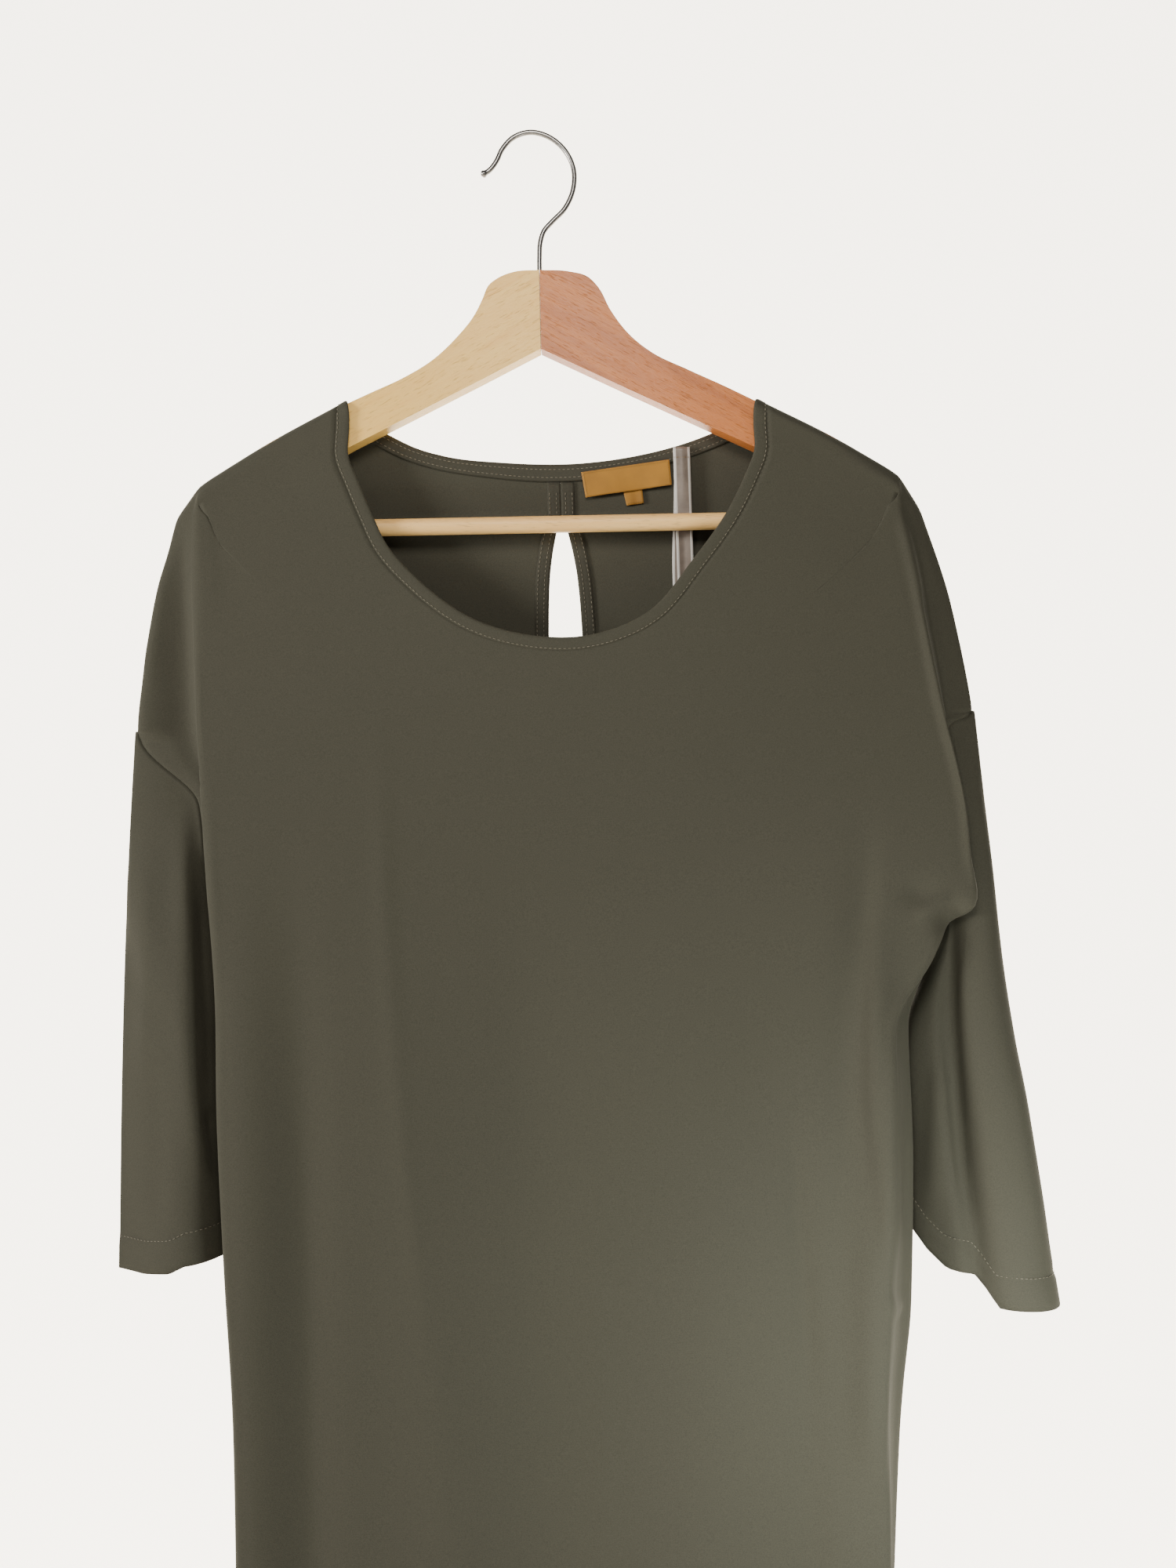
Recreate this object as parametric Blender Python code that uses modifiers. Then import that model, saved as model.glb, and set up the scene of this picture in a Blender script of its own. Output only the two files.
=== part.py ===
"""Jersey dress with drop shoulders and three-quarter sleeves, hung on a wooden hanger.

The origin is the inside top of the hanger's hook. +X is to the right seen from the front,
+Y goes from the front to the back and +Z is up. The cloth is a thin wall on lofted surfaces,
whose sections come from the tables below. All sizes and places are in millimetres and are
turned into metres where a mesh is made.
"""
import bpy
import bmesh
import math
import numpy as np

MM = 0.001

# Walls, and the gaps at the seams. A gap opens by HALF_SEAM on each of the two panels, by
# CORNER_SEAM more at the armhole's ends, and by START_SEAM where a piece starts on a panel.
WALL = 1.2
BAND_WALL = 2.0
TRIM_WALL = 1.0
SEAM = 0.3
HALF_SEAM = 0.2
CORNER_SEAM = 0.8
START_SEAM = 0.35

# Trims and hanger
BAND_WIDTH = 8.0
TAPE_WIDTH = 10.0
TAPE_DROP = 1.0
FACING_WIDTH = 8.5
FACING_ROWS = 17
ARM_THICK = 12.0
ARM_ROUNDING = 4.2
BOARD_POINTS = 21
BAR_RADIUS = 5.25
WIRE_RADIUS = 1.6
HOOK_POINTS = 49
TIP_POINTS = 3
HOOK_TIP = 1.4

# A side fold: its radius, the share of it across and the share of its depth where it turns
# into the panel's face, and how many radii in the face begins. EDGE_TURN is how a panel
# leaves the seam at its edge, across and in depth. WALL_LEAN moves the fold's wall inwards.
FOLD_RADIUS = 5.0
FOLD_TURN = (0.45, 0.72)
FACE_START = 2.2
EDGE_TURN = (0.3, 3.2)
WALL_LEAN = 0.5

# The roll over the hanger arm: its reach and drop, how squarely it turns, the drop of each
# step below it, and how far the back leans towards the neck, along the arm's slope
SHOULDER_ROLL = 8.2
SHOULDER_DROP = 7.0
ROLL_SQUARE = 0.85
FLANK_DROP = {"front": 4.0, "back": 2.7}
NECK_LEAN = {"front": 0.0, "back": 2.0}
ARM_SLOPE = 0.55

# Table rows of a panel run from one station to the next in this many steps. Stations 0 to
# ARM_END are on the hanger arm, and the armhole runs from TIP to UNDERARM.
STEPS = (2, 2, 1, 2, 3, 3, 3, 3, 2, 2, 2, 2, 3)
ARM_END = 2
TIP = 5
UNDERARM = 8

# Columns of a panel: FLANK steps on each side, ROLL of them over the arm, and MIDDLE between
FLANK = 6
ROLL = 4
MIDDLE = 20

# Shoulder seam over the hanger arm, from the neck point to the arm's end
SHOULDER_COLUMNS = ("x", "z")
LEFT_SHOULDER = ((-119, -169.5), (-160, -191.8), (-204, -219))
RIGHT_SHOULDER = ((146, -168), (186, -187.8), (228, -212))

# Sections below the arm's end. z: height. edge: the panel's own edge, on the shoulder fold,
# the armhole seam or the side seam. dip: bottom of the trough. fold: crest of the side fold.
SIDE_COLUMNS = ("z", "edge", "edge_y", "dip", "dip_y", "fold", "fold_y")
FRONT_LEFT = (
    (-240, -219, 0, -214, -7.4, -208, -9.5),
    (-300, -233, 0, -211, -5, -204, -15),
    (-371, -243, 0, -207, -4, -200, -20),
    (-417, -205, 1, -195, -7, -198, -21),
    (-465, -200, 1, -190, -7, -195, -21),
    (-545, -190, 1, -185, -6, -190, -17),
    (-600, -184, 1, -185, -7, -189, -18),
    (-700, -179, 1, -181, -8, -184, -20),
    (-800, -173, 1, -176, -9, -178, -22),
    (-960, -168, 1, -172, -10, -175, -24),
    (-1127, -166, 1, -170, -11, -173, -25),
)
FRONT_RIGHT = (
    (-234, 242, 0, 237, -7.4, 230, -9.5),
    (-292, 261, 0, 246, -5, 238, -17),
    (-358, 274, 0, 257, -4, 250, -23),
    (-370, 260, 1, 249, -7, 253, -24),
    (-435, 264, 1, 255, -7, 265, -25),
    (-505, 251, 1, 244, -6, 248, -18),
    (-555, 235, 1, 230, -9, 222, -22),
    (-640, 238, 1, 229, -12, 219, -29),
    (-720, 237, 1, 228, -12, 219, -29),
    (-800, 230, 1, 223, -12, 217, -26),
    (-1127, 219, 1, 221, -10, 223, -24),
)

# The back's troughs and folds on the same heights
BACK_COLUMNS = ("dip", "dip_y", "fold", "fold_y")
BACK_LEFT = (
    (-214, 7.4, -209, 9.5),
    (-213, 5, -206, 14),
    (-209, 6, -201, 19),
    (-195, 12, -197, 23),
    (-189, 12, -193, 23),
    (-184, 9, -187, 18),
    (-180, 9, -182, 20),
    (-176, 10, -178, 23),
    (-171, 11, -173, 25),
    (-167, 12, -170, 27),
    (-165, 12, -168, 28),
)
BACK_RIGHT = (
    (238, 7.4, 232, 9.5),
    (249, 5, 240, 15),
    (261, 6, 251, 21),
    (249, 12, 252, 24),
    (252, 12, 256, 24),
    (244, 9, 247, 18),
    (231, 9, 232, 20),
    (233, 10, 234, 23),
    (232, 11, 233, 25),
    (226, 12, 228, 27),
    (216, 12, 219, 28),
)

# How far each panel's edge stands away from the middle, half-way down the armhole
ARMHOLE_OPEN = {"front": 4.5, "back": 8.0}

# Seam line of the scoop neck in front and the edge of the neck at the back, as x and z.
# The rows below hang like the neck at first, level at NECK_FADE below it with NECK_SAG.
FRONT_NECK = ((-119.5, -203), (-113, -220), (-104, -241), (-95, -260), (-74, -284), (-36, -311),
              (2, -321.5), (39, -321), (78, -305), (107, -271), (131, -236), (140, -217),
              (146.5, -199))
BACK_NECK = ((-90, -184), (-72, -192.5), (-54, -197.5), (-17, -201.5), (30, -202),
             (65, -197.5), (100, -188.5), (117, -182))
NECK_FADE = 560.0
NECK_SAG = 0.3

# Depth of the flat middle of each panel at some heights
DEPTH_COLUMNS = ("z", "front", "back")
DEPTH = ((-1127, -30, 32), (-800, -26, 28), (-620, -25, 26), (-450, -23, 23), (-320, -17, 16),
         (-230, -12, 12), (-165, -9, 9))

# Long soft folds of the middle: from top to bottom, width across and how far they stand out.
# Each grows over its first FOLD_GROWS, and fades over FOLD_FADES from FOLD_ENDS of its length.
FOLD_GROWS = 0.35
FOLD_ENDS = 1.05
FOLD_FADES = 0.25
LONG_FOLD_COLUMNS = ("top_x", "top_z", "low_x", "low_z", "width", "out")
FRONT_FOLDS = (
    (-172, -400, -160, -1127, 20, 5.0),
    (-137, -460, -126, -1127, 15, -4.0),
    (-89, -440, -20, -1127, 22, 3.0),
    (8, -430, 30, -1127, 46, -5.0),
    (110, -480, 104, -1127, 30, 3.5),
    (160, -560, 178, -1127, 13, -3.0),
    (210, -470, 208, -760, 13, 8.0),
)
BACK_FOLDS = (
    (-150, -430, -138, -1127, 24, 5.0),
    (-60, -470, -48, -1127, 30, -4.0),
    (30, -450, 26, -1127, 30, 4.0),
    (110, -460, 98, -1127, 30, -4.5),
    (186, -470, 176, -1127, 22, 5.0),
)

# Keyhole at the back neck: half its width at some heights, on a line that leans a little
KEYHOLE_COLUMNS = ("z", "half")
KEYHOLE = ((-380, 1.5), (-374, 5.0), (-360, 8.4), (-340, 10.3), (-315, 10.6), (-292, 9.9),
           (-274, 8.7), (-256, 6.0), (-242, 2.9), (-232, 1.6), (-213, 1.5))
KEYHOLE_X = 18.7
KEYHOLE_LEAN = 0.033

# How far past the keyhole's ends a row may lie and still be cut
KEYHOLE_REACH = 4.0

# The columns beside the keyhole part by this much below it, over this length
KEYHOLE_SPREAD = 12.0
KEYHOLE_SPREAD_LENGTH = 120.0

# Sleeve sections, from below the armhole to the cuff. front and back: how far the section
# reaches to each side, at front_at and back_at of the way from its outer to its inner edge.
RING_COLUMNS = ("outer", "outer_z", "inner", "inner_y", "inner_z", "front", "front_at",
                "back", "back_at", "crease_at", "crease")
LEFT_RINGS = (
    (-249, -440, -194, 7, -564, -13, 0.62, 24, 0.5, 0.5, 0),
    (-252, -520, -189, 10, -600, -15, 0.64, 27, 0.5, 0.5, 0),
    (-254, -610, -186, 12, -645, -17, 0.66, 30, 0.5, 0.5, 0),
    (-255, -705, -183.5, 13, -694, -20, 0.68, 32, 0.5, 0.5, 0),
)
RIGHT_RINGS = (
    (284, -430, 250.5, 8, -530, -11, 0.42, 25, 0.5, 0.66, 2),
    (294, -520, 239.0, 10, -580, -15, 0.38, 28, 0.5, 0.62, 5),
    (309, -610, 240.0, 12, -632, -19, 0.36, 31, 0.5, 0.58, 7),
    (327, -720, 241.0, 13, -682, -22, 0.36, 34, 0.5, 0.58, 8),
)
RING_STEPS = 3
CREASE_WIDTH = 0.1
SECTION_SQUARE = 0.6

# The sleeve's first stretch, which carries the panels' cloth straight on over the armhole,
# and which way that is at the underarm
COLLAR = 2.6
UNDERARM_WAY = (1, 0, 0.4)

# Hanger boards seen from the front, as x and z: the upper edge from the mitre outwards up to
# the cloth, the end, and the lower edge back to the mitre
WOOD_TOP_LEFT = ((-10, -87.6), (-19, -91), (-25.5, -96), (-29, -104), (-34, -114),
                 (-46, -129), (-60, -142), (-78, -153), (-98, -162.2))
WOOD_END_LEFT = ((-209, -232), (-208, -246), (-203, -253), (-191, -254), (-189.8, -241))
WOOD_LOW_LEFT = ((-110.3, -195.3), (-30, -154.3))
WOOD_TOP_RIGHT = ((24, -87.2), (36, -90.5), (42.5, -97), (50, -111), (62, -126.5),
                  (76, -137.5), (97, -147.5), (122, -158.8))
WOOD_END_RIGHT = ((233, -225), (232, -238), (227, -245), (216, -246), (214.6, -233))
WOOD_LOW_RIGHT = ((140.4, -196.3), (56, -157.7))
MITRE = ((6.0, -86.4), (7.0, -135.1))
MITRE_GAP = 0.17
MITRE_REACH = 3.0

# How far the boards' upper edge lies below the middle of the cloth on it, at stations 0 to 2
CLOTH_REST = (2.4, 1.1, 2.2)
BAR_ENDS = ((-189.2, -246.4), (214.0, -238.6))
HOOK = ((-30.5, -25.3), (-25.0, -21.8), (-21.0, -16.5), (-17.5, -9.2), (-10.0, -1.4), (0.0, 1.6),
        (11.0, -1.0), (21.5, -9.5), (27.0, -21.0), (26.8, -34.0), (21.5, -46.0), (13.5, -54.3),
        (8.6, -60.0), (6.4, -67.0), (5.9, -76.0), (6.0, -86.0))

# Trims inside the back neck, seen from the front
LABEL = ((31.8, -208.0), (87.2, -200.0), (88.8, -215.9), (34.6, -223.8))
SIZE_TAB = ((57.0, -214.0), (69.5, -212.3), (71.3, -227.0), (60.5, -228.6))
LOOP_TOP = (94.6, -193.0)
LOOP_LENGTH = 135.0
LOOP_WIDTH = 10.4
LOOP_BEND = 1.6
LOOP_LEAN = {"near": 5.0, "far": 1.0}
LOOP_ROUND = 8.0
LOOP_END = 0.15
LOOP_POINTS = 14


def column(table, names, name):
    """One named column of a table, as an array."""
    return np.array([row[names.index(name)] for row in table], dtype=float)


def smooth_read(keys, values, at):
    """Read a curve through the values, one that never swings past them, at one place."""
    steps = np.diff(keys)
    slopes = np.diff(values) / steps
    tangents = np.zeros(len(keys))
    tangents[0] = slopes[0]
    tangents[-1] = slopes[-1]
    for i in range(1, len(keys) - 1):
        if slopes[i - 1] * slopes[i] > 0:
            left = 2 * steps[i] + steps[i - 1]
            right = steps[i] + 2 * steps[i - 1]
            tangents[i] = (left + right) / (left / slopes[i - 1] + right / slopes[i])
    place = min(max(int(np.searchsorted(keys, at)) - 1, 0), len(keys) - 2)
    t = min(max((at - keys[place]) / steps[place], 0.0), 1.0)
    rise = (3 - 2 * t) * t * t
    bend = (1 - t) * tangents[place] - t * tangents[place + 1]
    return values[place] + (values[place + 1] - values[place]) * rise + steps[place] * t * (1 - t) * bend


def read_table(table, names, key, name, at):
    """Read one named column of a table at a value of its key column."""
    return smooth_read(column(table, names, key), column(table, names, name), at)


def round_curve(points, places):
    """A round curve through points, read at places from 0 to 1 of its length."""
    points = np.asarray(points, dtype=float)
    lengths = np.linalg.norm(np.diff(points, axis=0), axis=1)
    keys = np.concatenate(([0], np.cumsum(lengths))) / lengths.sum()
    tangents = np.gradient(points, keys, axis=0)
    read = []
    for place in places:
        i = min(max(int(np.searchsorted(keys, place)) - 1, 0), len(keys) - 2)
        step = keys[i + 1] - keys[i]
        t = (place - keys[i]) / step
        read.append((1 + 2 * t) * (1 - t) ** 2 * points[i] + t * (1 - t) ** 2 * step * tangents[i]
                    + t * t * (3 - 2 * t) * points[i + 1] + t * t * (t - 1) * step * tangents[i + 1])
    return np.array(read)


def smooth_step(t):
    """Rise from 0 to 1 with soft ends."""
    t = min(max(t, 0.0), 1.0)
    return t * t * (3 - 2 * t)


def middle_depth(x, z, name):
    """Depth of a panel's flat middle with its long folds."""
    depth = read_table(DEPTH, DEPTH_COLUMNS, "z", name, z)
    sign = -1 if name == "front" else 1
    for row in FRONT_FOLDS if name == "front" else BACK_FOLDS:
        fold = dict(zip(LONG_FOLD_COLUMNS, row))
        along = (z - fold["top_z"]) / (fold["low_z"] - fold["top_z"])
        strength = smooth_step(along / FOLD_GROWS) * (1 - smooth_step((along - FOLD_ENDS) / FOLD_FADES))
        centre = fold["top_x"] + (fold["low_x"] - fold["top_x"]) * along
        depth += sign * fold["out"] * strength * math.exp(-((x - centre) / fold["width"]) ** 2)
    return depth


def station_rows():
    """Where the mesh rows lie between the stations of the tables."""
    rows = [0.0]
    for station, steps in enumerate(STEPS):
        rows += [station + (k + 1) / steps for k in range(steps)]
    return rows


def shoulder_section(shoulder, station, name, inward):
    """Points over the hanger arm, from the seam on top down to where the cloth hangs free."""
    stations = np.arange(len(shoulder))
    crest_x = smooth_read(stations, column(shoulder, SHOULDER_COLUMNS, "x"), station)
    crest_z = smooth_read(stations, column(shoulder, SHOULDER_COLUMNS, "z"), station)
    sign = -1 if name == "front" else 1
    near_neck = 1 - station / ARM_END
    lean = NECK_LEAN[name] * near_neck
    drop = FLANK_DROP["front"] + (FLANK_DROP[name] - FLANK_DROP["front"]) * near_neck
    points = []
    for k in range(FLANK + 1):
        turn = 0.5 * math.pi * min(k / ROLL, 1.0)
        x = crest_x + inward * lean * k
        y = sign * SHOULDER_ROLL * math.sin(turn) ** ROLL_SQUARE
        z = crest_z + ARM_SLOPE * lean * k
        z -= SHOULDER_DROP * (1 - math.cos(turn)) + drop * max(k - ROLL, 0)
        points.append((x, y, z))
    return np.array(points)


def side_section(table, back_table, station, name, inward):
    """Points from the panel's edge through the trough and round the side fold."""
    sign = -1 if name == "front" else 1
    keys = np.arange(ARM_END + 1, ARM_END + 1 + len(table))
    at = {key: smooth_read(keys, column(table, SIDE_COLUMNS, key), station) for key in SIDE_COLUMNS}
    if name == "back":
        for key in BACK_COLUMNS:
            at[key] = smooth_read(keys, column(back_table, BACK_COLUMNS, key), station)
    z = at["z"]
    face_x = at["fold"] + inward * FACE_START * FOLD_RADIUS
    face_y = middle_depth(face_x, z, name)
    turn_x = at["fold"] + inward * FOLD_TURN[0] * FOLD_RADIUS
    turn_y = at["fold_y"] + FOLD_TURN[1] * (face_y - at["fold_y"])
    slope_x = at["edge"] + inward * EDGE_TURN[0]
    slope_y = at["edge_y"] + sign * EDGE_TURN[1]
    if TIP < station < UNDERARM:
        round_part = (2 * station - TIP - UNDERARM) / (UNDERARM - TIP)
        at["edge_y"] += sign * ARMHOLE_OPEN[name] * math.sqrt(1 - round_part ** 2)
        slope_x = 0.5 * (at["dip"] + at["edge"])
        slope_y = 0.5 * (at["dip_y"] + at["edge_y"])
    wall_x = 0.5 * (at["dip"] + at["fold"]) + inward * WALL_LEAN
    wall_y = 0.5 * (at["dip_y"] + at["fold_y"])
    return np.array([(at["edge"], at["edge_y"], z), (slope_x, slope_y, z),
                     (at["dip"], at["dip_y"], z), (wall_x, wall_y, z),
                     (at["fold"], at["fold_y"], z), (turn_x, turn_y, z), (face_x, face_y, z)])


def flank_section(side, station, name):
    """A panel's side strip at a station, on the shoulder, below it or in between."""
    shoulder, table, back_table, inward = side
    if station <= ARM_END:
        return shoulder_section(shoulder, station, name, inward)
    if station >= ARM_END + 1:
        return side_section(table, back_table, station, name, inward)
    blend = station - ARM_END
    top = shoulder_section(shoulder, ARM_END, name, inward)
    low = side_section(table, back_table, ARM_END + 1, name, inward)
    return top * (1 - blend) + low * blend


LEFT_SIDE = (LEFT_SHOULDER, FRONT_LEFT, BACK_LEFT, 1)
RIGHT_SIDE = (RIGHT_SHOULDER, FRONT_RIGHT, BACK_RIGHT, -1)


def keyhole_half(z):
    """Half the keyhole's width at a height."""
    return read_table(KEYHOLE, KEYHOLE_COLUMNS, "z", "half", z)


def keyhole_centre(z):
    """Where the keyhole's middle line is at a height."""
    return KEYHOLE_X + KEYHOLE_LEAN * (KEYHOLE[-1][0] - z)


def middle_row(start, end, neck_line, fade):
    """Points across the middle of a panel, hung between its two sides, as x and z."""
    row = []
    for j in range(MIDDLE + 1):
        part = j / MIDDLE
        chord = neck_line[0] + (neck_line[-1] - neck_line[0]) * part
        row.append(start[[0, 2]] + (end - start)[[0, 2]] * part + fade * (neck_line[j] - chord))
    return np.array(row)


def round_the_keyhole(row):
    """Moves the columns of a back row so that the middle three follow the keyhole."""
    half_count = MIDDLE // 2
    z = row[half_count][1]
    centre = keyhole_centre(max(z, KEYHOLE[0][0]))
    below = smooth_step((KEYHOLE[0][0] - z) / KEYHOLE_SPREAD_LENGTH)
    half = keyhole_half(z) + KEYHOLE_SPREAD * below
    left = np.linspace(row[0][0], centre - half, half_count)
    right = np.linspace(centre + half, row[-1][0], half_count)
    places = np.concatenate((left, [centre], right))
    return np.stack((places, np.interp(places, row[:, 0], row[:, 1])), axis=1)


def panel_grid(name):
    """All points of a panel, as rows from the neck to the hem."""
    neck = FRONT_NECK if name == "front" else BACK_NECK
    grid = []
    neck_line = None
    for station in station_rows():
        left = flank_section(LEFT_SIDE, station, name)
        right = flank_section(RIGHT_SIDE, station, name)
        start = left[-1]
        end = right[-1]
        height = 0.5 * (start[2] + end[2])
        if neck_line is None:
            top = height
            outline = [start[[0, 2]], *neck, end[[0, 2]]]
            neck_line = round_curve(outline, np.linspace(0, 1, MIDDLE + 1))
        fall = min((top - height) / NECK_FADE, 1.0)
        row = middle_row(start, end, neck_line, 1 - fall * (1 + NECK_SAG * (1 - fall)))
        if name == "back":
            row = round_the_keyhole(row)
        middle = [(x, middle_depth(x, z, name), z) for x, z in row[1:-1]]
        grid.append(np.vstack((left, middle, right[::-1])))
    return np.array(grid)


def pull_in_edges(grid, amounts):
    """Shortens the first and last column towards their neighbours, to part the seams."""
    for edge, inner in ((0, 1), (-1, -2)):
        inward = grid[:, inner] - grid[:, edge]
        inward /= np.linalg.norm(inward, axis=1)[:, None]
        grid[:, edge] += np.reshape(amounts, (-1, 1)) * inward


def remove_all():
    """Empties the scene."""
    for item in list(bpy.data.objects):
        bpy.data.objects.remove(item, do_unlink=True)


def make_material(name, colour, roughness, metallic=0.0):
    """A plain surface of one colour."""
    material = bpy.data.materials.new(name)
    material.use_nodes = True
    shader = material.node_tree.nodes["Principled BSDF"]
    shader.inputs["Base Color"].default_value = (*colour, 1.0)
    shader.inputs["Roughness"].default_value = roughness
    shader.inputs["Metallic"].default_value = metallic
    return material


def add_object(name, mesh, material, smooth_angle=0.7):
    """Puts a mesh into the dress's collection."""
    item = bpy.data.objects.new(name, mesh)
    bpy.data.collections["jersey_dress"].objects.link(item)
    mesh.materials.append(material)
    mesh.shade_smooth()
    mesh.set_sharp_from_angle(angle=smooth_angle)
    return item


def add_cloth(name, grid, wall, material, closed=False, hole=()):
    """A grid of points as an open surface with an even wall. The faces in hole are left out."""
    rows, columns = grid.shape[:2]
    vertices = grid.reshape(-1, 3) * MM
    faces = []
    for i in range(rows - 1):
        for j in range(columns if closed else columns - 1):
            if (i, j) not in hole:
                k = (j + 1) % columns
                faces.append((i * columns + j, (i + 1) * columns + j,
                              (i + 1) * columns + k, i * columns + k))
    mesh = bpy.data.meshes.new(name)
    mesh.from_pydata(vertices.tolist(), [], faces)
    remove_loose(mesh)
    item = add_object(name, mesh, material)
    solid = item.modifiers.new("Wall", "SOLIDIFY")
    solid.thickness = wall * MM
    solid.offset = 0.0
    return item


def remove_loose(mesh):
    """Drops the points that no face uses."""
    work = bmesh.new()
    work.from_mesh(mesh)
    loose = [vertex for vertex in work.verts if not vertex.link_faces]
    bmesh.ops.delete(work, geom=loose, context="VERTS")
    work.to_mesh(mesh)
    work.free()


def keyhole_faces(grid):
    """The faces of the back grid that the keyhole leaves out."""
    centre = FLANK + MIDDLE // 2
    heights = grid[:, centre, 2]
    low = KEYHOLE[0][0] - KEYHOLE_REACH
    high = KEYHOLE[-1][0] + KEYHOLE_REACH
    inside = [i for i in range(len(heights)) if low < heights[i] < high]
    return {(i, j) for i in inside[:-1] for j in (centre - 1, centre)}


def add_panels(cloth):
    """Front and back, which share the shoulder and side seams."""
    grids = {name: panel_grid(name) for name in ("front", "back")}
    raw = {name: grid.copy() for name, grid in grids.items()}
    amounts = [HALF_SEAM + CORNER_SEAM * (station in (TIP, UNDERARM)) for station in station_rows()]
    for grid in grids.values():
        pull_in_edges(grid, amounts)
    add_cloth("front_panel", grids["front"], WALL, cloth)
    add_cloth("back_panel", grids["back"][:, ::-1], WALL, cloth,
              hole={(i, grids["back"].shape[1] - 2 - j) for i, j in keyhole_faces(grids["back"])})
    return raw


def ring_half(ring, count, side):
    """Half of a sleeve section, from its outer edge to its inner edge."""
    at = dict(zip(RING_COLUMNS, ring))
    reach = at[side]
    peak = at[side + "_at"]
    power = math.log(0.5) / math.log(peak)
    points = []
    for k in range(count + 1):
        part = 0.5 * (1 - math.cos(math.pi * k / count))
        x = at["outer"] + (at["inner"] - at["outer"]) * part
        z = at["outer_z"] + (at["inner_z"] - at["outer_z"]) * part
        y = at["inner_y"] * part
        bulge = max(math.sin(math.pi * part ** power), 0.0) ** SECTION_SQUARE
        y += (reach - at["inner_y"] * peak) * bulge
        if side == "front":
            y += at["crease"] * math.exp(-((part - at["crease_at"]) / CREASE_WIDTH) ** 2)
        points.append((x, y, z))
    return points


def leaving_directions(grids, edge, first, last, armhole):
    """Which way the panels' cloth runs on over the armhole seam, at each of its points."""
    inner = 1 if edge == 0 else -2
    front = grids["front"]
    back = grids["back"]
    out_front = front[first:last + 1, edge] - front[first:last + 1, inner]
    out_back = back[first:last + 1, edge] - back[first:last + 1, inner]
    out_front[0] = front[first, edge] - front[first - 1, edge]
    out_front[-1] = np.multiply(UNDERARM_WAY, (1 if edge else -1, 1, 1))
    out = np.vstack((out_front, out_back[-2:0:-1]))
    along = np.roll(armhole, -1, axis=0) - np.roll(armhole, 1, axis=0)
    along /= np.linalg.norm(along, axis=1)[:, None]
    out -= along * np.sum(out * along, axis=1)[:, None]
    return out / np.linalg.norm(out, axis=1)[:, None]


def section_curve(points):
    """One line of a sleeve through its sections: a short straight start, then a round curve."""
    rest = round_curve(points[1:], np.linspace(0, 1, (len(points) - 2) * RING_STEPS + 1))
    return np.vstack(([points[0]], rest))


def sleeve_grid(grids, edge, rings):
    """Rows of a sleeve from its armhole to its cuff, each round the arm."""
    rows = station_rows()
    first = rows.index(TIP)
    last = rows.index(UNDERARM)
    front = grids["front"][first:last + 1, edge]
    back = grids["back"][first:last + 1, edge]
    armhole = np.vstack((front, back[-2:0:-1]))
    collar = armhole + COLLAR * leaving_directions(grids, edge, first, last, armhole)
    sections = [armhole, collar]
    for ring in rings:
        near = ring_half(ring, last - first, "front")
        far = ring_half(ring, last - first, "back")
        sections.append(np.array(near + far[-2:0:-1]))
    sections = np.array(sections)
    lines = [section_curve(sections[:, k]) for k in range(sections.shape[1])]
    grid = np.array(lines).transpose(1, 0, 2)
    away = grid[1] - grid[0]
    grid[0] += START_SEAM * away / np.linalg.norm(away, axis=1)[:, None]
    return grid


def add_sleeves(grids, cloth):
    """Both sleeves, each a tube that starts on its armhole."""
    left = sleeve_grid(grids, 0, LEFT_RINGS)
    right = sleeve_grid(grids, -1, RIGHT_RINGS)
    add_cloth("left_sleeve", left[:, ::-1], WALL, cloth, closed=True)
    add_cloth("right_sleeve", right, WALL, cloth, closed=True)


def neck_band_grid(grid, width):
    """Rows of a band that carries a panel's surface on past its neck seam."""
    along = np.gradient(grid[0], axis=0)
    along /= np.linalg.norm(along, axis=1)[:, None]
    up = grid[0] - grid[1]
    up -= along * np.sum(up * along, axis=1)[:, None]
    up /= np.linalg.norm(up, axis=1)[:, None]
    return np.array([grid[0] + up * step for step in (width, 0.5 * width, START_SEAM)])


def add_neck_band(grids, cloth):
    """The narrow turned edge of the scoop neck."""
    band = neck_band_grid(grids["front"], BAND_WIDTH)
    pull_in_edges(band, HALF_SEAM)
    add_cloth("front_neck_band", band, BAND_WALL, cloth)


def inside_back(x, z, out):
    """A point on the inside of the back panel, moved out of it by a distance."""
    return (x, middle_depth(x, z, "back") - out, z)


def layer_out(layer):
    """Distance from the back panel's middle to the middle of a trim's layer."""
    return 0.5 * WALL + SEAM + 0.5 * TRIM_WALL + layer * (TRIM_WALL + SEAM)


def down_column(grid, j, distance):
    """The point of a panel's column at a distance below its upper edge."""
    line = grid[:, j]
    lengths = np.concatenate(([0], np.cumsum(np.linalg.norm(np.diff(line, axis=0), axis=1))))
    return np.array([np.interp(distance, lengths, line[:, axis]) for axis in range(3)])


def add_tape(grids, tape):
    """Tape over the back neck seam, along the panel's own edge."""
    back = grids["back"]
    away = np.array((0, layer_out(0), 0))
    rows = []
    for distance in np.linspace(TAPE_DROP, TAPE_DROP + TAPE_WIDTH, 4):
        rows.append([down_column(back, j, distance) - away for j in range(FLANK, FLANK + MIDDLE + 1)])
    add_cloth("back_neck_tape", np.array(rows), TRIM_WALL, tape)


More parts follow.
